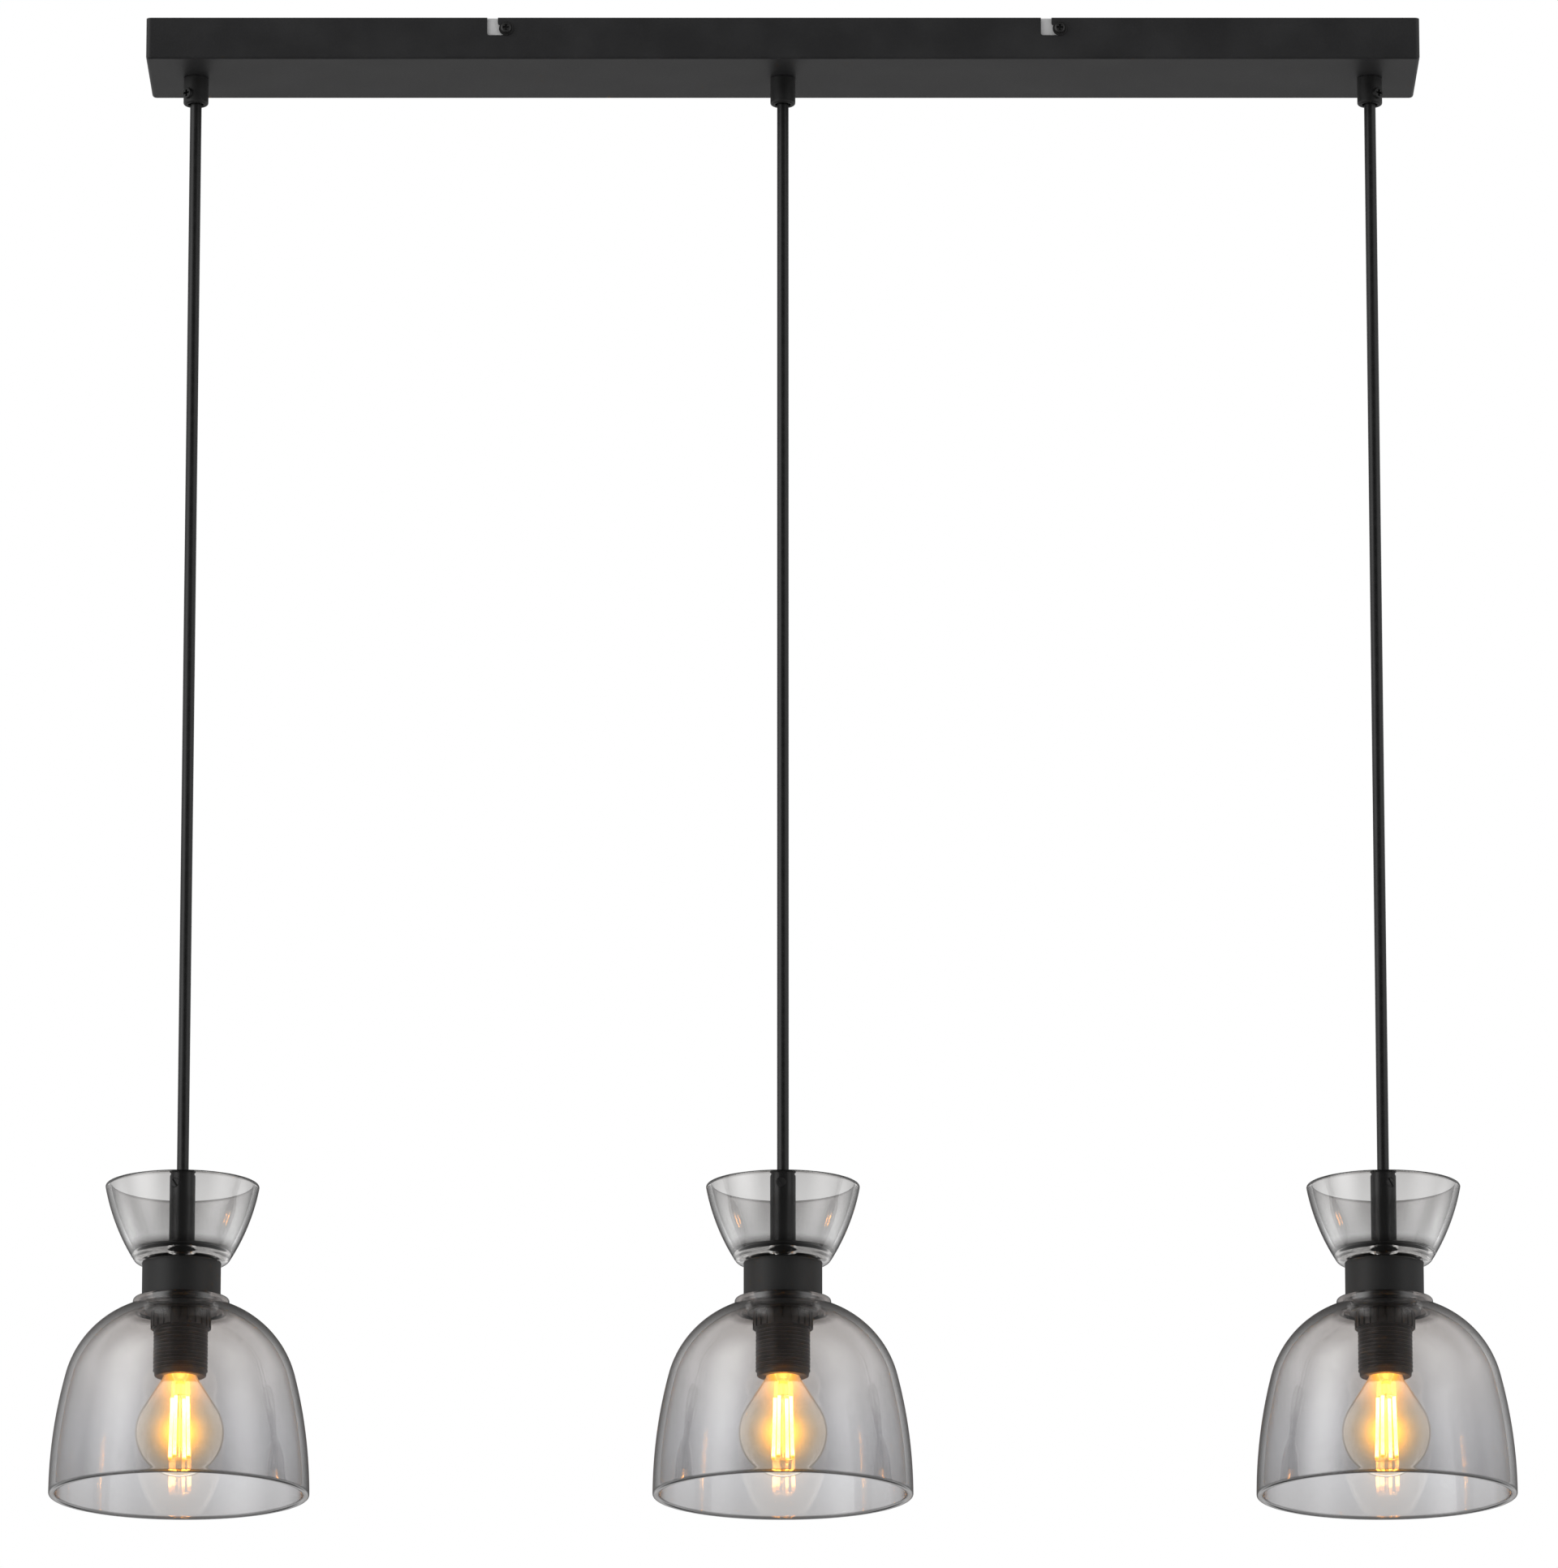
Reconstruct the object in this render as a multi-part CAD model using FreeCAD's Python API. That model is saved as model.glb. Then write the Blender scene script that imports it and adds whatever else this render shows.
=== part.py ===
import FreeCAD, Part
import math
import os

# A linear island pendant: a long black canopy under the ceiling, and three cords that each
# carry a smoked glass cup over a smoked glass bell with a small globe bulb inside.
# Millimetres. The origin is the middle of the bracket's top face, which lies on the ceiling.
# +Z is up, +X runs along the canopy to the right, and the front faces -Y.

# Running gaps
THREAD_GAP = 0.05
HOLE_GAP = 0.15
SLIDE_GAP = 0.3
TOUCH_GAP = 0.1

# How far a cutter runs past what it cuts
PAST = 1.0

# Canopy: a folded sheet steel tray, open to the ceiling
CANOPY_LENGTH = 660.0
CANOPY_DEPTH = 70.0
CANOPY_HEIGHT = 22.0
CANOPY_SHEET = 1.0
CANOPY_BEND = 1.5
CANOPY_CORNER = 2.5
CEILING_GAP = 0.5
GRIP_FROM_END = 24.5
PENDANT_SPACING = CANOPY_LENGTH / 2 - GRIP_FROM_END

# Ceiling bracket: a zinc plated strip with two cross pieces whose ends turn down
BRACKET_SHEET = 1.5
BRACKET_LENGTH = 330.0
BRACKET_WIDTH = 34.0
BRACKET_BEND = 2.0
TAB_LENGTH = 30.0
TAB_DROP = 15.0
TAB_OFFSET = 2.0
CEILING_SLOT_SPACING = 200.0
CEILING_SLOT_WIDTH = 5.2
CEILING_SLOT_LENGTH = 22.0
SUPPLY_HOLE = 16.0
SUPPLY_HOLE_X = 40.0

# Screws that hold the canopy, in slots that let it hook on
CANOPY_SCREW_X = 143.5
CANOPY_SCREW_DROP = 6.5
SCREW_SHANK = 4.0
SCREW_REACH = 7.0
SCREW_FLANGE = 7.4
SCREW_FLANGE_THICK = 0.6
SCREW_HEAD = 5.5
SCREW_HEAD_HIGH = 2.2
SLOT_WIDTH = 5.5
SLOT_TRAVEL = 7.0
SLOT_CORNER = 1.2

# Cord grips under the canopy
GRIP_DIAMETER = 13.0
GRIP_LENGTH = 14.5
GRIP_EDGE = 1.2
GRIP_MOUTH = 8.2
GRIP_MOUTH_DEEP = 4.5
GRIP_LIP = 0.4
GRIP_SCREW = 5.6
GRIP_SCREW_UP = 4.9
GRIP_SCREW_PROUD = 1.3
GRIP_SCREW_TURNS = {"left": -38.0, "centre": 180.0, "right": 36.0}
PIPE_THREAD = 9.9
GRIP_NUT_FLATS = 14.0
GRIP_NUT_THICK = 4.0
GRIP_THREAD_SPARE = 2.0

# Cord, from the grip to the lamp holder
CORD_DIAMETER = 6.0
CORD_VISIBLE = 569.0
CORD_TAIL_ABOVE_GRIP = 1.5
BEND_ABOVE_MOUTH = 1.5
BEND_LENGTH = 12.0

# Stem: the tube that hangs on the cord and clamps the glass cup
STEM_DIAMETER = 13.0
STEM_LENGTH = 39.5
STEM_EDGE = 1.5
STEM_LIP = 0.4
STEM_NECK_LENGTH = 15.0
STEM_BORE = 8.4
STEM_SOCKET_DEEP = 12.0
STEM_SCREW = 5.0
STEM_SCREW_DOWN = 5.5
STEM_SCREW_SUNK = 0.15
SCREW_SLOT_TURN = 35.0
STEM_SCREW_TURNS = {"left": -35.0, "centre": -9.5, "right": 35.0}
WASHER_DIAMETER = 20.0
WASHER_THICK = 1.0

# Threaded tube through stem, cup, collar and lamp holder
NIPPLE_BORE = 7.2
NIPPLE_IN_STEM = 10.0
NIPPLE_IN_HOLDER = 9.0

# Glass cup over the collar
CUP_HEIGHT = 40.0
CUP_FOOT_LAP = 0.8
CUP_FOOT_ROUND = 5.0
CUP_FLARE_ANGLE = 32.0
CUP_FLARE_RADIUS = 108.0
CUP_WALL = 3.0
CUP_FLOOR = 5.5
CUP_INNER_ROUND = 4.5
CUP_HOLE_GAP = 0.3
GLASS_RIM_ROUND = 1.2

# Collar between the two glasses
COLLAR_DIAMETER = 40.0
COLLAR_HEIGHT = 18.6
COLLAR_SHEET = 1.5
COLLAR_EDGE = 0.8

# Glass bell
BELL_RIM_RADIUS = 66.0
BELL_HEIGHT = 102.0
BELL_WALL = 3.5
BELL_SIDE_RADIUS = 248.0
BELL_SIDE_TURN = 14.5
BELL_SHOULDER_RADIUS = 52.0
NECK_BEAD = 4.5
NECK_TOP = 4.0
NECK_EDGE = 1.6
NECK_RECESS_GAP = 3.0
NECK_HOLE_GAP = 0.7

# Ring that clamps the bell to the collar
RING_FLANGE_WIDTH = 3.0
RING_FLANGE_THICK = 2.5
RING_SKIRT_WALL = 1.45
RING_LENGTH = 11.5
RING_RIBS = 24
RING_RIB_WIDTH = 1.2
RING_RIB_DEEP = 0.6
RING_THREAD_GAP = 0.15

# Lamp holder
HOLDER_THREAD = 27.8
HOLDER_THREAD_DEEP = 0.7
HOLDER_PITCH = 2.0
HOLDER_BELOW_NECK = 41.0
HOLDER_HEAD_DIAMETER = 26.0
HOLDER_HEAD_LENGTH = 16.0
HOLDER_EDGE = 1.0
HOLDER_MOUTH_GAP = 0.6
HOLDER_MOUTH_DEEP = 9.5
HOLDER_SOCKET_ROOM = 3.6
HOLDER_FLOOR = 4.0
HOLDER_CHAMBER = 17.0
HOLDER_ENTRY_DEEP = 10.0
CORD_IN_CHAMBER = 2.0
SHELL_WALL = 0.5
SHELL_SETBACK = 1.0
SHELL_PAST_THREAD = 4.5
TONGUE_LENGTH = 11.0
TONGUE_WIDTH = 4.0
TONGUE_THICK = 0.5
TONGUE_BUTTON = 3.0

# Bulb
GLOBE_DIAMETER = 45.0
GLOBE_WALL = 0.8
GLOBE_NECK = 16.0
GLOBE_TANGENT_ANGLE = 33.0
GLOBE_NECK_ROUND = 8.0
GLOBE_IN_CAP = 3.0
BULB_GLASS_LENGTH = 55.0
CAP_IN_HOLDER = 4.0
CAP_THREAD = 13.9
CAP_THREAD_DEEP = 0.5
CAP_PITCH = 2.82
CAP_SKIRT_LENGTH = 4.0
CAP_THREAD_LENGTH = 14.1
CAP_INSULATOR_LENGTH = 3.4
CAP_TIP = 4.8
CAP_TIP_LENGTH = 2.5
CAP_WALL = 0.35
MOUNT_FLARE = 12.0
MOUNT_PRESS = 5.0
MOUNT_LENGTH = 14.5
MOUNT_ROD = 0.8
FILAMENT_COUNT = 4
FILAMENT_DIAMETER = 1.8
FILAMENT_LENGTH = 32.0
FILAMENT_TURN = 65.0
FILAMENT_TOP_RADIUS = 4.4
FILAMENT_FOOT_RADIUS = 5.4
WIRE = 0.6

# Terminal block and leads inside the canopy
BLOCK_X = -70.0
BLOCK_LENGTH = 18.0
BLOCK_HEIGHT = 12.0
POLE_PITCH = 9.0
POLE_NAMES = ("brown", "blue", "earth")
BLOCK_EDGE = 1.0
BLOCK_GROOVE = 1.0
BLOCK_STUD = 3.0
TERMINAL_SCREW = 3.6
TERMINAL_SCREW_DEEP = 3.5
TERMINAL_SCREW_SUNK = 0.8
LEAD_DIAMETER = 2.0
LEAD_RING_RADIUS = 1.8
LEAD_RING_TURNS = {"brown": -120.0, "blue": 0.0, "earth": 120.0}
LEAD_RISE = {"left": 6.0, "centre": 4.0, "right": 8.5}
LEAD_SIDE_STEP = {"left": 1.0, "centre": -1.6, "right": 1.6}
LEAD_HEIGHT_IN_BLOCK = 6.5
LEAD_SPREAD = 20.0
LEAD_DROP_RUN = 12.0
LEAD_END_RUN = 6.0

PENDANTS = {"left": -PENDANT_SPACING, "centre": 0.0, "right": PENDANT_SPACING}

# Levels, from the ceiling down
CANOPY_TOP = -CEILING_GAP
CANOPY_UNDERSIDE = CANOPY_TOP - CANOPY_HEIGHT
CANOPY_FLOOR = CANOPY_UNDERSIDE + CANOPY_SHEET
GRIP_BOTTOM = CANOPY_UNDERSIDE - GRIP_LENGTH
GRIP_TOP = CANOPY_FLOOR + GRIP_NUT_THICK + GRIP_THREAD_SPARE
CORD_TAIL_TOP = GRIP_TOP + CORD_TAIL_ABOVE_GRIP
FIRST_BEND = GRIP_BOTTOM + BEND_ABOVE_MOUTH
SECOND_BEND = FIRST_BEND - BEND_LENGTH
STEM_TOP = GRIP_BOTTOM - CORD_VISIBLE
STEM_FOOT = STEM_TOP - STEM_LENGTH
CUP_FLOOR_TOP = STEM_FOOT - WASHER_THICK
COLLAR_TOP = CUP_FLOOR_TOP - CUP_FLOOR
NECK_LEVEL = COLLAR_TOP - COLLAR_HEIGHT
BELL_RIM = NECK_LEVEL - BELL_HEIGHT
NECK_UNDERSIDE = NECK_LEVEL - NECK_TOP
HOLDER_TOP = COLLAR_TOP - COLLAR_SHEET
HOLDER_BOTTOM = NECK_LEVEL - HOLDER_BELOW_NECK
NIPPLE_TOP = STEM_FOOT + NIPPLE_IN_STEM
NIPPLE_BOTTOM = HOLDER_TOP - NIPPLE_IN_HOLDER
CHAMBER_TOP = HOLDER_TOP - HOLDER_ENTRY_DEEP
CORD_END = CHAMBER_TOP - CORD_IN_CHAMBER
SHELL_BOTTOM = HOLDER_BOTTOM + HOLDER_MOUTH_DEEP + SHELL_SETBACK
CAP_BOTTOM = HOLDER_BOTTOM + CAP_IN_HOLDER
CAP_THREAD_BOTTOM = CAP_BOTTOM + CAP_SKIRT_LENGTH + CAP_WALL
CAP_INSULATOR_BOTTOM = CAP_THREAD_BOTTOM + CAP_THREAD_LENGTH
CAP_TIP_BOTTOM = CAP_INSULATOR_BOTTOM + CAP_INSULATOR_LENGTH
CAP_TOP = CAP_TIP_BOTTOM + CAP_TIP_LENGTH
SHELL_TOP = CAP_INSULATOR_BOTTOM + SHELL_PAST_THREAD
SOCKET_FLOOR = CAP_TOP + HOLDER_SOCKET_ROOM
GLOBE_BOTTOM = CAP_BOTTOM - BULB_GLASS_LENGTH
GLOBE_CENTRE = GLOBE_BOTTOM + GLOBE_DIAMETER / 2
GLOBE_TOP = CAP_BOTTOM + GLOBE_IN_CAP
MOUNT_TOP = CAP_BOTTOM + GLOBE_WALL
MOUNT_BOTTOM = MOUNT_TOP - MOUNT_LENGTH
BLOCK_TOP = CANOPY_FLOOR + BLOCK_HEIGHT

CORD_RADIUS = CORD_DIAMETER / 2
CORD_HOLE = CORD_RADIUS + SLIDE_GAP
PIPE_RADIUS = PIPE_THREAD / 2
PIPE_BORE = PIPE_RADIUS + THREAD_GAP
PIPE_HOLE = PIPE_RADIUS + HOLE_GAP
COLLAR_RADIUS = COLLAR_DIAMETER / 2
NECK_RADIUS = COLLAR_RADIUS + NECK_BEAD
RING_BORE = HOLDER_THREAD / 2 + RING_THREAD_GAP
RING_SKIRT_RADIUS = RING_BORE + RING_SKIRT_WALL
RING_FLANGE_RADIUS = RING_SKIRT_RADIUS + RING_FLANGE_WIDTH
NECK_RECESS_RADIUS = RING_FLANGE_RADIUS + NECK_RECESS_GAP
CAP_SKIRT_RADIUS = GLOBE_NECK / 2 + THREAD_GAP + CAP_WALL
HOLDER_MOUTH_RADIUS = CAP_SKIRT_RADIUS + HOLDER_MOUTH_GAP
SHELL_BORE_RADIUS = CAP_THREAD / 2 + SLIDE_GAP
Z_AXIS = FreeCAD.Vector(0, 0, 1)


def at(x, y, z):
    return FreeCAD.Vector(x, y, z)


def outline(points):
    """A closed wire through (radius, height, corner) points, each corner rounded by its own radius."""
    count = len(points)
    edges = []
    last = None
    first = None
    for i, point in enumerate(points):
        here = at(point[0], 0, point[1])
        corner = point[2] if len(point) > 2 else 0
        before = at(points[i - 1][0], 0, points[i - 1][1]) - here
        after = at(points[(i + 1) % count][0], 0, points[(i + 1) % count][1]) - here
        arrive, leave = here, here
        if corner > 0:
            before.normalize()
            after.normalize()
            half = before.getAngle(after) / 2
            reach = corner / math.tan(half)
            arrive = here + before * reach
            leave = here + after * reach
            middle = before + after
            middle.normalize()
            nearest = here + middle * (corner / math.sin(half) - corner)
        if last is not None and (arrive - last).Length > 1e-6:
            edges.append(Part.LineSegment(last, arrive).toShape())
        if corner > 0:
            edges.append(Part.Arc(arrive, nearest, leave).toShape())
        if first is None:
            first = arrive
        last = leave
    if (first - last).Length > 1e-6:
        edges.append(Part.LineSegment(last, first).toShape())
    return Part.Wire(edges)


def spun(wire):
    """The solid that a closed outline sweeps round the upright axis."""
    return Part.Face(wire).revolve(at(0, 0, 0), Z_AXIS, 360)


def turned(*points):
    return spun(outline(points))


def tube(inner, outer, low, high):
    return turned((inner, low), (outer, low), (outer, high), (inner, high))


def rod(radius, low, high):
    return Part.makeCylinder(radius, high - low, at(0, 0, low))


def block(x_low, x_high, y_low, y_high, z_low, z_high):
    return Part.makeBox(x_high - x_low, y_high - y_low, z_high - z_low, at(x_low, y_low, z_low))


def between(radius, start, end):
    """A round bar from one point to another."""
    return Part.makeCylinder(radius, (end - start).Length, start, end - start)


def joined(pieces):
    return pieces[0].fuse(pieces[1:]).removeSplitter()


def moved(shape, x):
    copy = shape.copy()
    copy.translate(at(x, 0, 0))
    return copy


def rounded(shape, radius, wanted):
    """The shape with a round of this radius on each edge that wanted() picks."""
    return shape.makeFillet(radius, [edge for edge in shape.Edges if wanted(edge)])


def circle_edge(radius, height):
    """Picks the edges that lie on a circle of this radius at this height."""

    def wanted(edge):
        box = edge.BoundBox
        level = abs(box.ZMin - height) < 0.01 and abs(box.ZMax - height) < 0.01
        return level and abs(box.XMax - radius) < 0.01

    return wanted


def ridges(outer, depth, pitch, low, high):
    """Points up the side of a thread, from low to high, as (radius, height)."""
    count = int((high - low) / pitch)
    points = []
    for i in range(count):
        foot = low + i * pitch
        points += [(outer - depth, foot), (outer - depth, foot + 0.2 * pitch)]
        points += [(outer, foot + 0.45 * pitch), (outer, foot + 0.75 * pitch)]
    return points


def from_side(shape, turn):
    """Turns a shape that points along +X so that it points turn degrees right of the front."""
    copy = shape.copy()
    copy.rotate(at(0, 0, 0), Z_AXIS, turn - 90)
    return copy


def cord_run(radius, points):
    """A tube along straight runs with an arc at each turn, as large as its runs allow."""
    edges = []
    here = points[0]
    for i in range(1, len(points) - 1):
        back = points[i - 1] - points[i]
        on = points[i + 1] - points[i]
        shorter = min(back.Length, on.Length)
        back.normalize()
        on.normalize()
        half = back.getAngle(on) / 2
        reach = 0.45 * shorter
        bend = reach * math.tan(half)
        arrive = points[i] + back * reach
        leave = points[i] + on * reach
        middle = back + on
        middle.normalize()
        nearest = points[i] + middle * (bend / math.sin(half) - bend)
        edges.append(Part.LineSegment(here, arrive).toShape())
        edges.append(Part.Arc(arrive, nearest, leave).toShape())
        print(f"bend radius {bend:.1f} mm")
        here = leave
    edges.append(Part.LineSegment(here, points[-1]).toShape())
    path = Part.Wire(edges)
    section = Part.Wire(Part.makeCircle(radius, points[0], points[1] - points[0]))
    run = path.makePipeShell([section], True, False)
    ideal = math.pi * radius**2 * path.Length
    print(f"tube of {path.Length:.1f} mm: volume over section times length {run.Volume / ideal:.4f}")
    return run


def canopy():
    half_length, half_depth = CANOPY_LENGTH / 2, CANOPY_DEPTH / 2
    tray = block(-half_length, half_length, -half_depth, half_depth, CANOPY_UNDERSIDE, CANOPY_TOP)
    tray = rounded(tray, CANOPY_CORNER, lambda e: e.BoundBox.ZLength > CANOPY_HEIGHT / 2)
    tray = rounded(tray, CANOPY_BEND, lambda e: e.BoundBox.ZMax < CANOPY_UNDERSIDE + 0.01)
    inner_length, inner_depth = half_length - CANOPY_SHEET, half_depth - CANOPY_SHEET
    hollow = block(-inner_length, inner_length, -inner_depth, inner_depth, CANOPY_FLOOR, PAST)
    hollow = rounded(
        hollow, CANOPY_CORNER - CANOPY_SHEET, lambda e: e.BoundBox.ZLength > CANOPY_HEIGHT / 2
    )
    hollow = rounded(
        hollow, CANOPY_BEND - CANOPY_SHEET, lambda e: e.BoundBox.ZMax < CANOPY_FLOOR + 0.01
    )
    tray = tray.cut(hollow)
    for x in PENDANTS.values():
        tray = tray.cut(moved(rod(PIPE_HOLE, CANOPY_UNDERSIDE - PAST, CANOPY_FLOOR + PAST), x))
    for x in (-CANOPY_SCREW_X, CANOPY_SCREW_X):
        tray = tray.cut(moved(hook_slot(), x))
    stud = rod(BLOCK_STUD / 2, CANOPY_UNDERSIDE + CANOPY_SHEET / 2, BLOCK_TOP)
    stud.translate(at(BLOCK_X, POLE_PITCH / 2, 0))
    return joined([tray, stud])


def hook_slot():
    """The cutter for a slot in both long walls: down from the top edge, then along to the screw."""
    side = SLOT_WIDTH / 2
    roof = -CANOPY_SCREW_DROP + SCREW_SHANK / 2 + THREAD_GAP
    foot = roof - SLOT_WIDTH
    # The widest round that the slot's closed end takes leaves a short flat between its corners.
    end_round = side - THREAD_GAP
    points = [
        (-SLOT_TRAVEL - side, foot, SLOT_CORNER),
        (side, foot, end_round),
        (side, roof, end_round),
        (-SLOT_TRAVEL + side, roof, SLOT_CORNER),
        (-SLOT_TRAVEL + side, PAST),
        (-SLOT_TRAVEL - side, PAST),
    ]
    face = Part.Face(outline(points))
    face.translate(at(0, -CANOPY_DEPTH, 0))
    return face.extrude(at(0, 2 * CANOPY_DEPTH, 0))


def tab_face():
    """How far from the middle the outer face of a turned-down tab lies."""
    return CANOPY_DEPTH / 2 - CANOPY_SHEET - SLIDE_GAP


def ceiling_bracket():
    strip = block(
        -BRACKET_LENGTH / 2, BRACKET_LENGTH / 2, -BRACKET_WIDTH / 2, BRACKET_WIDTH / 2, -BRACKET_SHEET, 0
    )
    strip = rounded(strip, BRACKET_BEND, lambda e: e.BoundBox.ZLength > BRACKET_SHEET / 2)
    pieces = [strip]
    reach = tab_face()
    for x in (-CANOPY_SCREW_X, CANOPY_SCREW_X):
        low, high = x - TAB_OFFSET - TAB_LENGTH / 2, x - TAB_OFFSET + TAB_LENGTH / 2
        yoke = block(low, high, -reach, reach, -TAB_DROP, 0)
        yoke = rounded(yoke, BRACKET_BEND, lambda e: e.BoundBox.ZMin > -0.01)
        inside = block(
            low - PAST,
            high + PAST,
            BRACKET_SHEET - reach,
            reach - BRACKET_SHEET,
            -TAB_DROP - PAST,
            -BRACKET_SHEET,
        )
        inside = rounded(
            inside,
            BRACKET_BEND - BRACKET_SHEET,
            lambda e: e.BoundBox.ZMin > -BRACKET_SHEET - 0.01 and e.BoundBox.XLength > TAB_LENGTH,
        )
        yoke = yoke.cut(inside)
        bar = Part.makeCylinder(
            SCREW_SHANK / 2 + THREAD_GAP,
            2 * (reach + PAST),
            at(x, -reach - PAST, -CANOPY_SCREW_DROP),
            at(0, 1, 0),
        )
        pieces.append(yoke.cut(bar))
    bracket = joined(pieces)
    slot_side = CEILING_SLOT_WIDTH / 2
    half_run = CEILING_SLOT_LENGTH / 2 - slot_side
    for x in (-CEILING_SLOT_SPACING / 2, CEILING_SLOT_SPACING / 2):
        bracket = bracket.cut(
            [
                block(x - half_run, x + half_run, -slot_side, slot_side, -BRACKET_SHEET - PAST, PAST),
                moved(rod(slot_side, -BRACKET_SHEET - PAST, PAST), x - half_run),
                moved(rod(slot_side, -BRACKET_SHEET - PAST, PAST), x + half_run),
            ]
        )
    supply_hole = rod(SUPPLY_HOLE / 2, -BRACKET_SHEET - PAST, PAST)
    return bracket.cut(moved(supply_hole, SUPPLY_HOLE_X))


def cross_recess(width, across, top, depth):
    """The cutter for a cross-shaped recess in an upright screw's top."""
    arm, half = width / 2, across / 2
    return joined(
        [
            block(-half, half, -arm, arm, top - depth, top + PAST),
            block(-arm, arm, -half, half, top - depth, top + PAST),
        ]
    )


def canopy_screw():
    """One screw, upright, with the underside of its flange at height 0."""
    flange_edge = SCREW_FLANGE_THICK / 3
    profile = turned(
        (0, -SCREW_REACH),
        (SCREW_SHANK / 2, -SCREW_REACH, SCREW_SHANK / 8),
        (SCREW_SHANK / 2, 0),
        (SCREW_FLANGE / 2, 0),
        (SCREW_FLANGE / 2, SCREW_FLANGE_THICK, flange_edge),
        (SCREW_HEAD / 2, SCREW_FLANGE_THICK),
        (SCREW_HEAD / 2, SCREW_FLANGE_THICK + SCREW_HEAD_HIGH, SCREW_HEAD / 5),
        (0, SCREW_FLANGE_THICK + SCREW_HEAD_HIGH),
    )
    top = SCREW_FLANGE_THICK + SCREW_HEAD_HIGH
    return profile.cut(cross_recess(SCREW_HEAD / 6, SCREW_HEAD * 0.6, top, SCREW_HEAD_HIGH * 0.6))


def canopy_screws():
    screws = []
    for side in (-1, 1):
        for x in (-CANOPY_SCREW_X, CANOPY_SCREW_X):
            screw = canopy_screw()
            screw.rotate(at(0, 0, 0), at(1, 0, 0), -90 * side)
            screw.translate(at(x, side * (CANOPY_DEPTH / 2 + TOUCH_GAP), -CANOPY_SCREW_DROP))
            screws.append(screw)
    return screws


def grip_screw_height():
    return GRIP_BOTTOM + GRIP_SCREW_UP


def cord_grip(turn):
    body = turned(
        (GRIP_MOUTH / 2, GRIP_BOTTOM, GRIP_LIP),
        (GRIP_DIAMETER / 2, GRIP_BOTTOM, GRIP_EDGE),
        (GRIP_DIAMETER / 2, CANOPY_UNDERSIDE, GRIP_LIP),
        (PIPE_RADIUS, CANOPY_UNDERSIDE),
        (PIPE_RADIUS, GRIP_TOP, GRIP_LIP),
        (CORD_HOLE, GRIP_TOP),
        (CORD_HOLE, GRIP_BOTTOM + GRIP_MOUTH_DEEP),
        (GRIP_MOUTH / 2, GRIP_BOTTOM + GRIP_MOUTH_DEEP),
    )
    hole = Part.makeCylinder(
        GRIP_SCREW / 2 + THREAD_GAP, GRIP_DIAMETER, at(0, 0, grip_screw_height()), at(1, 0, 0)
    )
    return body.cut(from_side(hole, turn))


def side_screw(diameter, start, end, height, slot_deep):
    """A slotted grub screw along +X, from start to end off the axis."""
    edge = diameter / 14
    screw = turned((0, start), (diameter / 2, start, edge), (diameter / 2, end, edge), (0, end))
    half = diameter / 2
    slot = block(-half, half, -diameter / 10, diameter / 10, end - slot_deep, end + PAST)
    slot.rotate(at(0, 0, 0), Z_AXIS, SCREW_SLOT_TURN)
    screw = screw.cut(slot)
    screw.rotate(at(0, 0, 0), at(0, 1, 0), 90)
    screw.translate(at(0, 0, height))
    return screw


def grip_screw(turn):
    start, end = CORD_HOLE, GRIP_DIAMETER / 2 + GRIP_SCREW_PROUD
    screw = turned(
        (0, start),
        (GRIP_SCREW / 2, start, GRIP_LIP),
        (GRIP_SCREW / 2, end, GRIP_LIP),
        (0, end),
    )
    screw = screw.cut(cross_recess(GRIP_SCREW / 5, GRIP_SCREW * 0.65, end, GRIP_SCREW / 3))
    screw.rotate(at(0, 0, 0), at(0, 1, 0), 90)
    screw.translate(at(0, 0, grip_screw_height()))
    return from_side(screw, turn)


def grip_nut():
    corner = GRIP_NUT_FLATS / 2 / math.cos(math.radians(30))
    corners = [
        at(corner * math.cos(a), corner * math.sin(a), CANOPY_FLOOR)
        for a in (math.radians(60 * i) for i in range(7))
    ]
    nut = Part.Face(Part.makePolygon(corners)).extrude(at(0, 0, GRIP_NUT_THICK))
    low, high = CANOPY_FLOOR, CANOPY_FLOOR + GRIP_NUT_THICK
    cut_back = corner - GRIP_NUT_FLATS / 2
    cone = turned(
        (0, low),
        (GRIP_NUT_FLATS / 2 + cut_back / 3, low),
        (corner, low + cut_back / 2),
        (corner, high - cut_back / 2),
        (GRIP_NUT_FLATS / 2 + cut_back / 3, high),
        (0, high),
    )
    return nut.common(cone).cut(rod(PIPE_BORE, low - PAST, high + PAST))


def pole_y(name):
    """Where a pole of the terminal block lies across the canopy."""
    return (POLE_NAMES.index(name) - (len(POLE_NAMES) - 1) / 2) * POLE_PITCH


def terminal_screw_spots():
    for name in POLE_NAMES:
        for side in (-1, 1):
            yield BLOCK_X + side * BLOCK_LENGTH / 4, pole_y(name)


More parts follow.
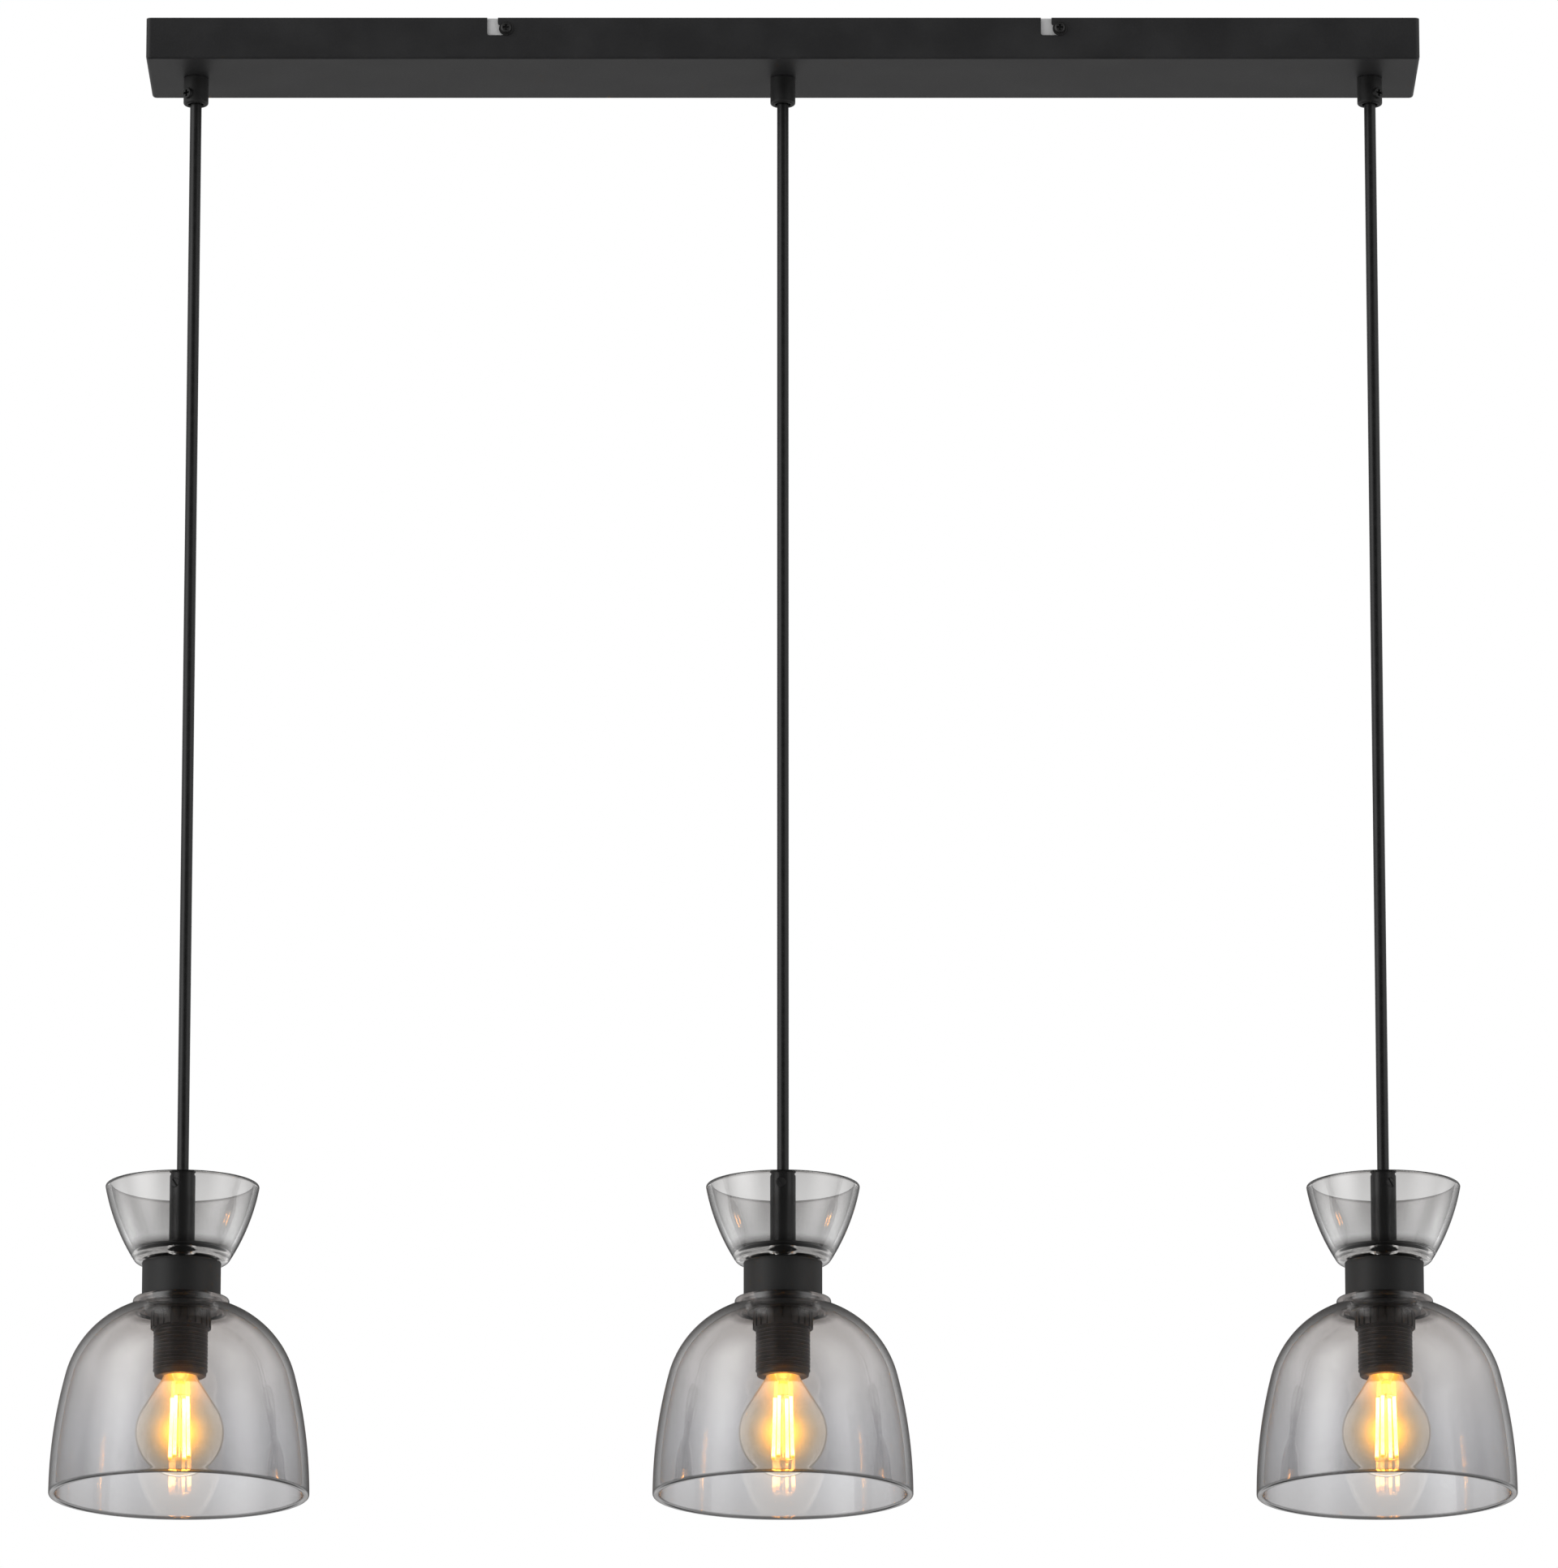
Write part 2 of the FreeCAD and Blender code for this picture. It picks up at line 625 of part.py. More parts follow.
def terminal_block():
    depth = len(POLE_NAMES) * POLE_PITCH
    body = block(
        BLOCK_X - BLOCK_LENGTH / 2,
        BLOCK_X + BLOCK_LENGTH / 2,
        -depth / 2,
        depth / 2,
        CANOPY_FLOOR,
        BLOCK_TOP,
    )
    body = rounded(body, BLOCK_EDGE, lambda e: e.BoundBox.ZMin > BLOCK_TOP - 0.01)
    for k in range(1, len(POLE_NAMES)):
        groove_y = k * POLE_PITCH - depth / 2
        body = body.cut(
            block(
                BLOCK_X - BLOCK_LENGTH,
                BLOCK_X + BLOCK_LENGTH,
                groove_y - BLOCK_GROOVE / 2,
                groove_y + BLOCK_GROOVE / 2,
                BLOCK_TOP - 2 * BLOCK_GROOVE,
                BLOCK_TOP + PAST,
            )
        )
    for x, y in terminal_screw_spots():
        hole = rod(TERMINAL_SCREW / 2 + THREAD_GAP, BLOCK_TOP - TERMINAL_SCREW_DEEP, BLOCK_TOP + PAST)
        hole.translate(at(x, y, 0))
        body = body.cut(hole)
    stud_hole = rod(BLOCK_STUD / 2 + THREAD_GAP, CANOPY_FLOOR - PAST, BLOCK_TOP + PAST)
    stud_hole.translate(at(BLOCK_X, POLE_PITCH / 2, 0))
    return body.cut(stud_hole)


def terminal_screws():
    top = BLOCK_TOP - TERMINAL_SCREW_SUNK
    screws = []
    for x, y in terminal_screw_spots():
        screw = rod(TERMINAL_SCREW / 2, BLOCK_TOP - TERMINAL_SCREW_DEEP, top)
        half = TERMINAL_SCREW / 2
        screw = screw.cut(block(-half, half, -half / 5, half / 5, top - half / 2, top + PAST))
        screw.translate(at(x, y, 0))
        screws.append(screw)
    return screws


def lead(pendant, name):
    """One insulated core from a cord's end, up over the canopy floor and into its pole."""
    x = PENDANTS[pendant]
    away = -1 if x > BLOCK_X else 1
    around = math.radians(LEAD_RING_TURNS[name])
    start_x = x + away * LEAD_RING_RADIUS * math.cos(around)
    start_y = LEAD_RING_RADIUS * math.sin(around)
    end_x = BLOCK_X - away * BLOCK_LENGTH / 2
    end_y = pole_y(name) + LEAD_SIDE_STEP[pendant]
    end_z = CANOPY_FLOOR + LEAD_HEIGHT_IN_BLOCK
    high = CORD_TAIL_TOP + LEAD_RISE[pendant]
    return cord_run(
        LEAD_DIAMETER / 2,
        [
            at(start_x, start_y, CORD_TAIL_TOP),
            at(start_x, start_y, high),
            at(x + away * LEAD_SPREAD, end_y, high),
            at(end_x - away * (LEAD_END_RUN + LEAD_DROP_RUN), end_y, high),
            at(end_x - away * LEAD_END_RUN, end_y, end_z),
            at(end_x, end_y, end_z),
        ],
    )


def stem(turn):
    body = turned(
        (CORD_HOLE, STEM_TOP, STEM_LIP),
        (STEM_DIAMETER / 2, STEM_TOP, STEM_EDGE),
        (STEM_DIAMETER / 2, STEM_FOOT, STEM_LIP),
        (PIPE_BORE, STEM_FOOT),
        (PIPE_BORE, STEM_FOOT + STEM_SOCKET_DEEP),
        (STEM_BORE / 2, STEM_FOOT + STEM_SOCKET_DEEP),
        (STEM_BORE / 2, STEM_TOP - STEM_NECK_LENGTH),
        (CORD_HOLE, STEM_TOP - STEM_NECK_LENGTH),
    )
    height = STEM_TOP - STEM_SCREW_DOWN
    hole = Part.makeCylinder(STEM_SCREW / 2 + THREAD_GAP, STEM_DIAMETER, at(0, 0, height), at(1, 0, 0))
    return body.cut(from_side(hole, turn))


def stem_screw(turn):
    end = STEM_DIAMETER / 2 - STEM_SCREW_SUNK
    screw = side_screw(STEM_SCREW, CORD_HOLE, end, STEM_TOP - STEM_SCREW_DOWN, STEM_SCREW / 4)
    return from_side(screw, turn)


def cup_washer():
    return tube(PIPE_HOLE, WASHER_DIAMETER / 2, CUP_FLOOR_TOP, STEM_FOOT)


def nipple():
    edge = (PIPE_RADIUS - NIPPLE_BORE / 2) / 3
    return turned(
        (NIPPLE_BORE / 2, NIPPLE_BOTTOM),
        (PIPE_RADIUS, NIPPLE_BOTTOM, edge),
        (PIPE_RADIUS, NIPPLE_TOP, edge),
        (NIPPLE_BORE / 2, NIPPLE_TOP),
    )


def cup_glass():
    """A bowl whose foot laps over the collar's top and rounds into one long flare."""
    flare = math.radians(CUP_FLARE_ANGLE)
    recess = COLLAR_RADIUS + SLIDE_GAP
    foot_centre = (recess, COLLAR_TOP - CUP_FOOT_LAP + CUP_FOOT_ROUND)
    flare_start = (
        foot_centre[0] + CUP_FOOT_ROUND * math.cos(flare),
        foot_centre[1] - CUP_FOOT_ROUND * math.sin(flare),
    )
    flare_centre = (
        flare_start[0] - CUP_FLARE_RADIUS * math.cos(flare),
        flare_start[1] + CUP_FLARE_RADIUS * math.sin(flare),
    )
    rim = COLLAR_TOP + CUP_HEIGHT
    inner_floor = COLLAR_TOP + CUP_FLOOR

    def on_flare(height, wall):
        reach = CUP_FLARE_RADIUS - wall
        rise = height - flare_centre[1]
        return at(flare_centre[0] + math.sqrt(reach**2 - rise**2), 0, height)

    def on_foot(angle):
        turn = math.radians(angle)
        return at(
            foot_centre[0] + CUP_FOOT_ROUND * math.cos(turn),
            0,
            foot_centre[1] + CUP_FOOT_ROUND * math.sin(turn),
        )

    hole = PIPE_RADIUS + CUP_HOLE_GAP
    outer_top, inner_top = on_flare(rim, 0), on_flare(rim, CUP_WALL)
    inner_foot = on_flare(inner_floor, CUP_WALL)
    half_way = (rim + flare_start[1]) / 2
    edges = [
        Part.LineSegment(at(hole, 0, COLLAR_TOP), at(recess, 0, COLLAR_TOP)),
        Part.LineSegment(at(recess, 0, COLLAR_TOP), on_foot(-90)),
        Part.Arc(on_foot(-90), on_foot(-45 - CUP_FLARE_ANGLE / 2), on_foot(-CUP_FLARE_ANGLE)),
        Part.Arc(on_foot(-CUP_FLARE_ANGLE), on_flare(half_way, 0), outer_top),
        Part.LineSegment(outer_top, inner_top),
        Part.Arc(inner_top, on_flare((rim + inner_floor) / 2, CUP_WALL), inner_foot),
        Part.LineSegment(inner_foot, at(hole, 0, inner_floor)),
        Part.LineSegment(at(hole, 0, inner_floor), at(hole, 0, COLLAR_TOP)),
    ]
    glass = spun(Part.Wire([edge.toShape() for edge in edges]))
    glass = rounded(glass, CUP_INNER_ROUND, circle_edge(inner_foot.x, inner_floor))
    glass = rounded(glass, min(GLASS_RIM_ROUND, CUP_WALL * 0.45), circle_edge(outer_top.x, rim))
    return rounded(glass, min(GLASS_RIM_ROUND, CUP_WALL * 0.45), circle_edge(inner_top.x, rim))


def collar():
    inner = COLLAR_RADIUS - COLLAR_SHEET
    return turned(
        (inner, NECK_LEVEL),
        (COLLAR_RADIUS, NECK_LEVEL),
        (COLLAR_RADIUS, COLLAR_TOP, COLLAR_EDGE),
        (PIPE_HOLE, COLLAR_TOP),
        (PIPE_HOLE, HOLDER_TOP),
        (inner, HOLDER_TOP, COLLAR_EDGE / 2),
    )


def bell_glass():
    """A bell whose side is a long shallow arc that runs into a tight round shoulder."""
    turn = math.radians(BELL_SIDE_TURN)
    side_centre = BELL_RIM_RADIUS - BELL_SIDE_RADIUS
    meet_r = side_centre + BELL_SIDE_RADIUS * math.cos(turn)
    meet_z = BELL_RIM + BELL_SIDE_RADIUS * math.sin(turn)
    top_r = meet_r - BELL_SHOULDER_RADIUS * math.cos(turn)
    top_z = meet_z - BELL_SHOULDER_RADIUS * math.sin(turn)

    def on_side(angle, wall):
        reach = BELL_SIDE_RADIUS - wall
        return at(side_centre + reach * math.cos(angle), 0, BELL_RIM + reach * math.sin(angle))

    def on_shoulder(angle, wall):
        reach = BELL_SHOULDER_RADIUS - wall
        return at(top_r + reach * math.cos(angle), 0, top_z + reach * math.sin(angle))

    def reaches(radius, wall):
        return math.acos((radius - top_r) / (BELL_SHOULDER_RADIUS - wall))

    outer_end, inner_end = reaches(NECK_RADIUS, 0), reaches(NECK_RECESS_RADIUS, BELL_WALL)
    outer_foot = on_shoulder(outer_end, 0)
    inner_foot = on_shoulder(inner_end, BELL_WALL)
    hole = HOLDER_THREAD / 2 + NECK_HOLE_GAP
    neck_out = at(NECK_RADIUS, 0, NECK_LEVEL)
    neck_in = at(hole, 0, NECK_LEVEL)
    roof_in = at(hole, 0, NECK_UNDERSIDE)
    roof_out = at(NECK_RECESS_RADIUS, 0, NECK_UNDERSIDE)
    edges = [
        Part.Arc(on_side(0, 0), on_side(turn / 2, 0), on_side(turn, 0)),
        Part.Arc(on_side(turn, 0), on_shoulder((turn + outer_end) / 2, 0), outer_foot),
        Part.LineSegment(outer_foot, neck_out),
        Part.LineSegment(neck_out, neck_in),
        Part.LineSegment(neck_in, roof_in),
        Part.LineSegment(roof_in, roof_out),
        Part.LineSegment(roof_out, inner_foot),
        Part.Arc(inner_foot, on_shoulder((turn + inner_end) / 2, BELL_WALL), on_side(turn, BELL_WALL)),
        Part.Arc(on_side(turn, BELL_WALL), on_side(turn / 2, BELL_WALL), on_side(0, BELL_WALL)),
        Part.LineSegment(on_side(0, BELL_WALL), on_side(0, 0)),
    ]
    glass = spun(Part.Wire([edge.toShape() for edge in edges]))
    rim_round = min(GLASS_RIM_ROUND, BELL_WALL * 0.45)
    for radius in (BELL_RIM_RADIUS, BELL_RIM_RADIUS - BELL_WALL):
        glass = rounded(glass, rim_round, circle_edge(radius, BELL_RIM))
    return rounded(glass, NECK_EDGE, circle_edge(NECK_RADIUS, NECK_LEVEL))


def shade_ring():
    bottom = NECK_UNDERSIDE - RING_LENGTH
    flange_bottom = NECK_UNDERSIDE - RING_FLANGE_THICK
    edge = RING_SKIRT_WALL / 4
    ring = turned(
        (RING_BORE, bottom),
        (RING_SKIRT_RADIUS, bottom, edge),
        (RING_SKIRT_RADIUS, flange_bottom),
        (RING_FLANGE_RADIUS, flange_bottom, edge),
        (RING_FLANGE_RADIUS, NECK_UNDERSIDE, edge),
        (RING_BORE, NECK_UNDERSIDE),
    )
    half = RING_RIB_WIDTH / 2
    for k in range(RING_RIBS):
        groove = block(
            RING_SKIRT_RADIUS - RING_RIB_DEEP,
            RING_SKIRT_RADIUS + PAST,
            -half,
            half,
            bottom - PAST,
            flange_bottom,
        )
        groove.rotate(at(0, 0, 0), Z_AXIS, 360 * k / RING_RIBS)
        ring = ring.cut(groove)
    return ring


def lamp_holder():
    outer = HOLDER_THREAD / 2
    head = HOLDER_HEAD_DIAMETER / 2
    head_bottom = HOLDER_TOP - HOLDER_HEAD_LENGTH
    mouth_top = HOLDER_BOTTOM + HOLDER_MOUTH_DEEP
    socket = SHELL_BORE_RADIUS + SHELL_WALL + THREAD_GAP
    chamber_bottom = SOCKET_FLOOR + HOLDER_FLOOR
    thread = ridges(outer, HOLDER_THREAD_DEEP, HOLDER_PITCH, HOLDER_BOTTOM + 2 * HOLDER_EDGE, head_bottom)
    return turned(
        (HOLDER_MOUTH_RADIUS, HOLDER_BOTTOM, HOLDER_EDGE / 3),
        (outer - HOLDER_THREAD_DEEP, HOLDER_BOTTOM, HOLDER_EDGE),
        *thread,
        (outer - HOLDER_THREAD_DEEP, head_bottom),
        (head, head_bottom),
        (head, HOLDER_TOP, 4 * HOLDER_EDGE),
        (PIPE_BORE, HOLDER_TOP),
        (PIPE_BORE, CHAMBER_TOP),
        (HOLDER_CHAMBER / 2, CHAMBER_TOP, HOLDER_EDGE),
        (HOLDER_CHAMBER / 2, chamber_bottom, HOLDER_EDGE),
        (0, chamber_bottom),
        (0, SOCKET_FLOOR),
        (socket, SOCKET_FLOOR),
        (socket, mouth_top),
        (HOLDER_MOUTH_RADIUS, mouth_top),
    )


def socket_contacts():
    shell = tube(SHELL_BORE_RADIUS, SHELL_BORE_RADIUS + SHELL_WALL, SHELL_BOTTOM, SHELL_TOP)
    tongue_low = SOCKET_FLOOR - TONGUE_THICK
    strip = block(
        -TONGUE_LENGTH / 2, TONGUE_LENGTH / 2, -TONGUE_WIDTH / 2, TONGUE_WIDTH / 2, tongue_low, SOCKET_FLOOR
    )
    button = rod(TONGUE_BUTTON / 2, CAP_TOP + SLIDE_GAP, SOCKET_FLOOR)
    return [shell, joined([strip, button])]


def bulb_cap():
    outer = CAP_THREAD / 2
    thread = ridges(outer, CAP_THREAD_DEEP, CAP_PITCH, CAP_THREAD_BOTTOM, CAP_INSULATOR_BOTTOM)
    skirt_top = CAP_BOTTOM + CAP_SKIRT_LENGTH
    glass_hole = GLOBE_NECK / 2 + THREAD_GAP
    inner = outer - CAP_THREAD_DEEP - CAP_WALL
    return turned(
        (glass_hole, CAP_BOTTOM),
        (CAP_SKIRT_RADIUS, CAP_BOTTOM),
        (CAP_SKIRT_RADIUS, skirt_top, CAP_WALL),
        (outer - CAP_THREAD_DEEP, CAP_THREAD_BOTTOM),
        *thread[1:],
        (outer - CAP_THREAD_DEEP, CAP_INSULATOR_BOTTOM),
        (CAP_TIP / 2, CAP_TIP_BOTTOM),
        (CAP_TIP / 2, CAP_TOP, CAP_TIP / 5),
        (0, CAP_TOP),
        (0, CAP_INSULATOR_BOTTOM),
        (inner, CAP_INSULATOR_BOTTOM),
        (inner, skirt_top),
        (glass_hole, skirt_top),
    )


def bulb_globe():
    """A round bulb that narrows along a tangent into its neck, as a thin shell."""

    def skin(wall):
        radius = GLOBE_DIAMETER / 2 - wall
        neck = GLOBE_NECK / 2 - wall
        turn = math.radians(GLOBE_TANGENT_ANGLE)
        leave = at(radius * math.cos(turn), 0, GLOBE_CENTRE + radius * math.sin(turn))
        corner = leave.z + (leave.x - neck) / math.tan(turn)
        bend = (GLOBE_NECK_ROUND + wall) * math.tan(turn / 2)
        before = at(neck + bend * math.sin(turn), 0, corner - bend * math.cos(turn))
        after = at(neck, 0, corner + bend)
        round_centre = neck + GLOBE_NECK_ROUND + wall
        middle = at(
            round_centre - (GLOBE_NECK_ROUND + wall) * math.cos(turn / 2),
            0,
            after.z - (GLOBE_NECK_ROUND + wall) * math.sin(turn / 2),
        )
        side = (turn - math.pi / 2) / 2
        widest = at(radius * math.cos(side), 0, GLOBE_CENTRE + radius * math.sin(side))
        return [
            Part.Arc(at(0, 0, GLOBE_CENTRE - radius), widest, leave),
            Part.LineSegment(leave, before),
            Part.Arc(before, middle, after),
            Part.LineSegment(after, at(neck, 0, GLOBE_TOP)),
        ]

    outer, inner = skin(0), skin(GLOBE_WALL)
    ends = [
        Part.LineSegment(at(0, 0, GLOBE_BOTTOM), at(0, 0, GLOBE_BOTTOM + GLOBE_WALL)),
        Part.LineSegment(at(GLOBE_NECK / 2, 0, GLOBE_TOP), at(GLOBE_NECK / 2 - GLOBE_WALL, 0, GLOBE_TOP)),
    ]
    edges = [edge.toShape() for edge in [*outer, *inner, *ends]]
    return spun(Part.Wire(Part.__sortEdges__(edges)))


def filament_ends(k):
    """Where filament k starts and ends, top first."""
    around = math.radians(FILAMENT_TURN + 360 * k / FILAMENT_COUNT)
    lean = math.sqrt(FILAMENT_LENGTH**2 - (FILAMENT_FOOT_RADIUS - FILAMENT_TOP_RADIUS) ** 2)
    top = at(
        FILAMENT_TOP_RADIUS * math.cos(around),
        FILAMENT_TOP_RADIUS * math.sin(around),
        MOUNT_BOTTOM - WIRE,
    )
    foot = at(
        FILAMENT_FOOT_RADIUS * math.cos(around), FILAMENT_FOOT_RADIUS * math.sin(around), top.z - lean
    )
    return top, foot


def bulb_filaments():
    return [between(FILAMENT_DIAMETER / 2, *filament_ends(k)) for k in range(FILAMENT_COUNT)]


def bulb_mount():
    """The glass stem in the bulb's neck, its rod and the wires that carry the filaments."""
    press = MOUNT_PRESS / 2
    flare = turned(
        (0, MOUNT_BOTTOM),
        (press, MOUNT_BOTTOM, press / 4),
        (press, MOUNT_BOTTOM + MOUNT_LENGTH / 2, press),
        (MOUNT_FLARE / 2, MOUNT_TOP - GLOBE_WALL),
        (GLOBE_NECK / 2 - GLOBE_WALL - THREAD_GAP, MOUNT_TOP - GLOBE_WALL),
        (GLOBE_NECK / 2 - GLOBE_WALL - THREAD_GAP, MOUNT_TOP),
        (0, MOUNT_TOP),
    )
    pieces = [flare]
    for k in range(FILAMENT_COUNT):
        top, foot = filament_ends(k)
        hub = at(0, 0, foot.z - WIRE)
        pieces.append(between(WIRE / 2, at(0, 0, top.z + WIRE), at(top.x, top.y, top.z + WIRE / 2)))
        pieces.append(between(WIRE / 2, hub, at(foot.x, foot.y, foot.z - WIRE)))
    pieces.append(rod(MOUNT_ROD / 2, hub.z - WIRE, MOUNT_BOTTOM + PAST))
    return joined(pieces)


def hanging(low, high):
    return rod(CORD_RADIUS, low, high)


def export(name, pieces, x=0.0):
    pieces = pieces if isinstance(pieces, list) else [pieces]
    placed = [moved(piece, x) for piece in pieces]
    for piece in placed:
        if not piece.isValid() or len(piece.Solids) != 1:
            print(f"{name}: a piece isn't one valid solid")
    shape = placed[0] if len(placed) == 1 else Part.makeCompound(placed)
    shape.exportStep(f"parts/{name}.step")


def make_canopy_group():
    export("ceiling_bracket", ceiling_bracket())
    export("canopy_screws", canopy_screws())
    export("canopy", canopy())
    export("cord_grips", [moved(cord_grip(GRIP_SCREW_TURNS[p]), x) for p, x in PENDANTS.items()])
    export("grip_screws", [moved(grip_screw(GRIP_SCREW_TURNS[p]), x) for p, x in PENDANTS.items()])
    export("grip_nuts", [moved(grip_nut(), x) for x in PENDANTS.values()])
    export("cord_tails", [moved(hanging(FIRST_BEND, CORD_TAIL_TOP), x) for x in PENDANTS.values()])
    export("terminal_block", terminal_block())
    export("terminal_screws", terminal_screws())
    for name in POLE_NAMES:
        export(f"leads_{name}", [lead(pendant, name) for pendant in PENDANTS])


def make_pendants():
    same = {
        "cord_bend": hanging(SECOND_BEND, FIRST_BEND),
        "cord": hanging(CORD_END, SECOND_BEND),
        "cup_washer": cup_washer(),
        "nipple": nipple(),
        "cup_glass": cup_glass(),
        "collar": collar(),
        "bell_glass": bell_glass(),
        "shade_ring": shade_ring(),
        "lamp_holder": lamp_holder(),
        "socket_contacts": socket_contacts(),
        "bulb_cap": bulb_cap(),
        "bulb_globe": bulb_globe(),
        "bulb_mount": bulb_mount(),
        "bulb_filaments": bulb_filaments(),
    }
    for pendant, x in PENDANTS.items():
        export(f"stem_{pendant}", stem(STEM_SCREW_TURNS[pendant]), x)
        export(f"stem_screw_{pendant}", stem_screw(STEM_SCREW_TURNS[pendant]), x)
        for name, pieces in same.items():
            export(f"{name}_{pendant}", pieces, x)


os.makedirs("parts", exist_ok=True)
make_canopy_group()
make_pendants()
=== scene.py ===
import math

import bmesh
import bpy
from mathutils import Matrix, Vector


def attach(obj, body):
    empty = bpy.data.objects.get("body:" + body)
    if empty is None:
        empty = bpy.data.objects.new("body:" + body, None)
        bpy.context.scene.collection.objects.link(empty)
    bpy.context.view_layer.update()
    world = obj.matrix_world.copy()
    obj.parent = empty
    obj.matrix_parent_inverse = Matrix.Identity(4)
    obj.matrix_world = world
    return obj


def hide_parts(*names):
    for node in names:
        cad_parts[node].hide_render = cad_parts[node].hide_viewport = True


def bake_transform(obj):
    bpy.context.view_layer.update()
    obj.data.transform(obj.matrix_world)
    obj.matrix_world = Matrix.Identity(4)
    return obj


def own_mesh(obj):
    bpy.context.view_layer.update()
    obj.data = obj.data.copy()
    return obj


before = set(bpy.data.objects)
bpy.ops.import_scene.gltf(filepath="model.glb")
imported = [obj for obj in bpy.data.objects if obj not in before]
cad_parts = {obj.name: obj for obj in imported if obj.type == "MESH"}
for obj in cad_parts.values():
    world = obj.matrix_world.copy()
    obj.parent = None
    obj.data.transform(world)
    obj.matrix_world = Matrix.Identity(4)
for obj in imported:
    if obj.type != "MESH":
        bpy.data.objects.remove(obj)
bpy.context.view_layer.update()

# Sizes in metres, in the frame of the model: +Z up, the front faces -Y, the ceiling at z = 0.
PENDANTS = {"left": -0.3055, "centre": 0.0, "right": 0.3055}

# The cord's levels, from its grip down through both short bends to the lamp holder
CORD_RADIUS = 0.003
CORD_TOP = -0.0355
BEND_LEVEL = -0.0475
CORD_START = -0.0595
CORD_END = -0.6655

# Levels of a lamp: the top of its collar, and the bell's neck and rim
COLLAR_TOP = -0.652
NECK_LEVEL = -0.6706
BELL_RIM = -0.7726

# The glasses stay this clear of the metal, so that light passes along inside them
CONTACT_GAP = 0.00005
GLASS_EDGE = 0.0012

CUP_RIM = COLLAR_TOP + 0.040
CUP_FLOOR = COLLAR_TOP + 0.0055
CUP_HOLE = 0.00525
CUP_WALL = 0.003
CUP_RECESS = 0.0203
CUP_FOOT_LAP = 0.0008
CUP_FOOT_ROUND = 0.005
CUP_FLOOR_ROUND = 0.0045
CUP_FLARE = math.radians(32)
CUP_FLARE_RADIUS = 0.108

BELL_RADIUS = 0.066
BELL_WALL = 0.0035
BELL_SIDE_RADIUS = 0.248
BELL_SIDE_TURN = math.radians(14.5)
BELL_SHOULDER_RADIUS = 0.052
BELL_NECK = 0.0245
BELL_NECK_EDGE = 0.0016
BELL_TOP_WALL = 0.004
BELL_HOLE = 0.0146
BELL_RECESS = 0.0215

GLOBE_RADIUS = 0.0225
GLOBE_WALL = 0.0008
GLOBE_NECK = 0.008
GLOBE_BOTTOM = -0.7626
GLOBE_TOP = -0.7046
GLOBE_TANGENT = math.radians(33)
GLOBE_NECK_ROUND = 0.008

MOUNT_TOP = -0.7068
MOUNT_BOTTOM = -0.7213
MOUNT_PRESS = 0.0025
MOUNT_PRESS_HEIGHT = 0.00725
MOUNT_FLARE = 0.006
MOUNT_LIP = 0.0071
MOUNT_END_ROUND = 0.0006
MOUNT_WAIST_ROUND = 0.002
MOUNT_FLARE_ROUND = 0.0004

FILAMENTS = 4
FILAMENT_RADIUS = 0.0009
FILAMENT_LENGTH = 0.032
FILAMENT_TOP_RADIUS = 0.0044
FILAMENT_FOOT_RADIUS = 0.0054
FILAMENT_TURN = 65
FILAMENT_END_ROUND = 0.0004
WIRE_RADIUS = 0.0003
MAST_RADIUS = 0.0004
MAST_PAST_HUB = 0.0005
MAST_IN_GLASS = 0.001

# Edges that turn more than this keep a crease in their shading
CREASE = math.radians(40)

# How glass bends light, and the thin mirror coat on the cups and bells
GLASS_IOR = 1.46
COAT_IOR = 1.9
COAT_WEIGHT = 0.6
COAT_ROUGHNESS = 0.02

# The painted shade on a wall seen edge on: from which slant, over how much more slant, how
# strong
EDGE_START = 0.67
EDGE_REACH = 0.28
EDGE_SHARE = 0.9

# The painted glow of the filaments on the bulb's glass: how closely it gathers, and its reach
# in the neck
PAINTED_GLOW_POWER = 22
PAINTED_NECK_GLOW_POWER = 3
PAINTED_NECK_GLOW_REACH = 0.022

# How bright the surroundings are on lit surfaces, and in reflections all round, at both
# sides, at the sides behind the object and in a low band behind it
WORLD_LEVEL = 0.6
MIRRORED_LEVEL = 0.05
MIRRORED_SIDES = 0.5
MIRRORED_WINGS = 0.18
MIRRORED_HORIZON = 0.9
HORIZON_DIP = 0.25

CAMERA_PLACE = (-0.002, -6.0, -1.914)
CAMERA_RISE = 14.15
CAMERA_LENS = 276.9
CAMERA_REACH = 100

FLOOR_LEVEL = -3.2
FLOOR_REACH = 30

# Each panel's place, width, height and strength. Both face the same point.
PANELS = {
    "left_panel": ((-2.1, -1.2, 0.0), 3.4, 6.0, 1.7),
    "right_panel": ((2.1, -1.1, 0.0), 2.8, 6.0, 0.8),
}
PANEL_AIM = (0, 0, -0.5)
PANEL_FADE = 2.5


class Wire:
    """An output of a node, which Python's own signs can reckon with."""

    def __init__(self, recipe, socket):
        self.recipe = recipe
        self.socket = socket

    def __add__(self, other):
        return self.recipe.maths("ADD", self, other)

    def __sub__(self, other):
        return self.recipe.maths("SUBTRACT", self, other)

    def __rsub__(self, other):
        return self.recipe.maths("SUBTRACT", other, self)

    def __mul__(self, other):
        return self.recipe.maths("MULTIPLY", self, other)

    def __truediv__(self, other):
        return self.recipe.maths("DIVIDE", self, other)

    def __pow__(self, other):
        return self.recipe.maths("POWER", self, other)

    def __abs__(self):
        return self.recipe.maths("ABSOLUTE", self)

    __radd__ = __add__
    __rmul__ = __mul__

    def clipped(self):
        """The same value, kept between 0 and 1."""
        return self.recipe.maths("MINIMUM", self.recipe.maths("MAXIMUM", self, 0.0), 1.0)


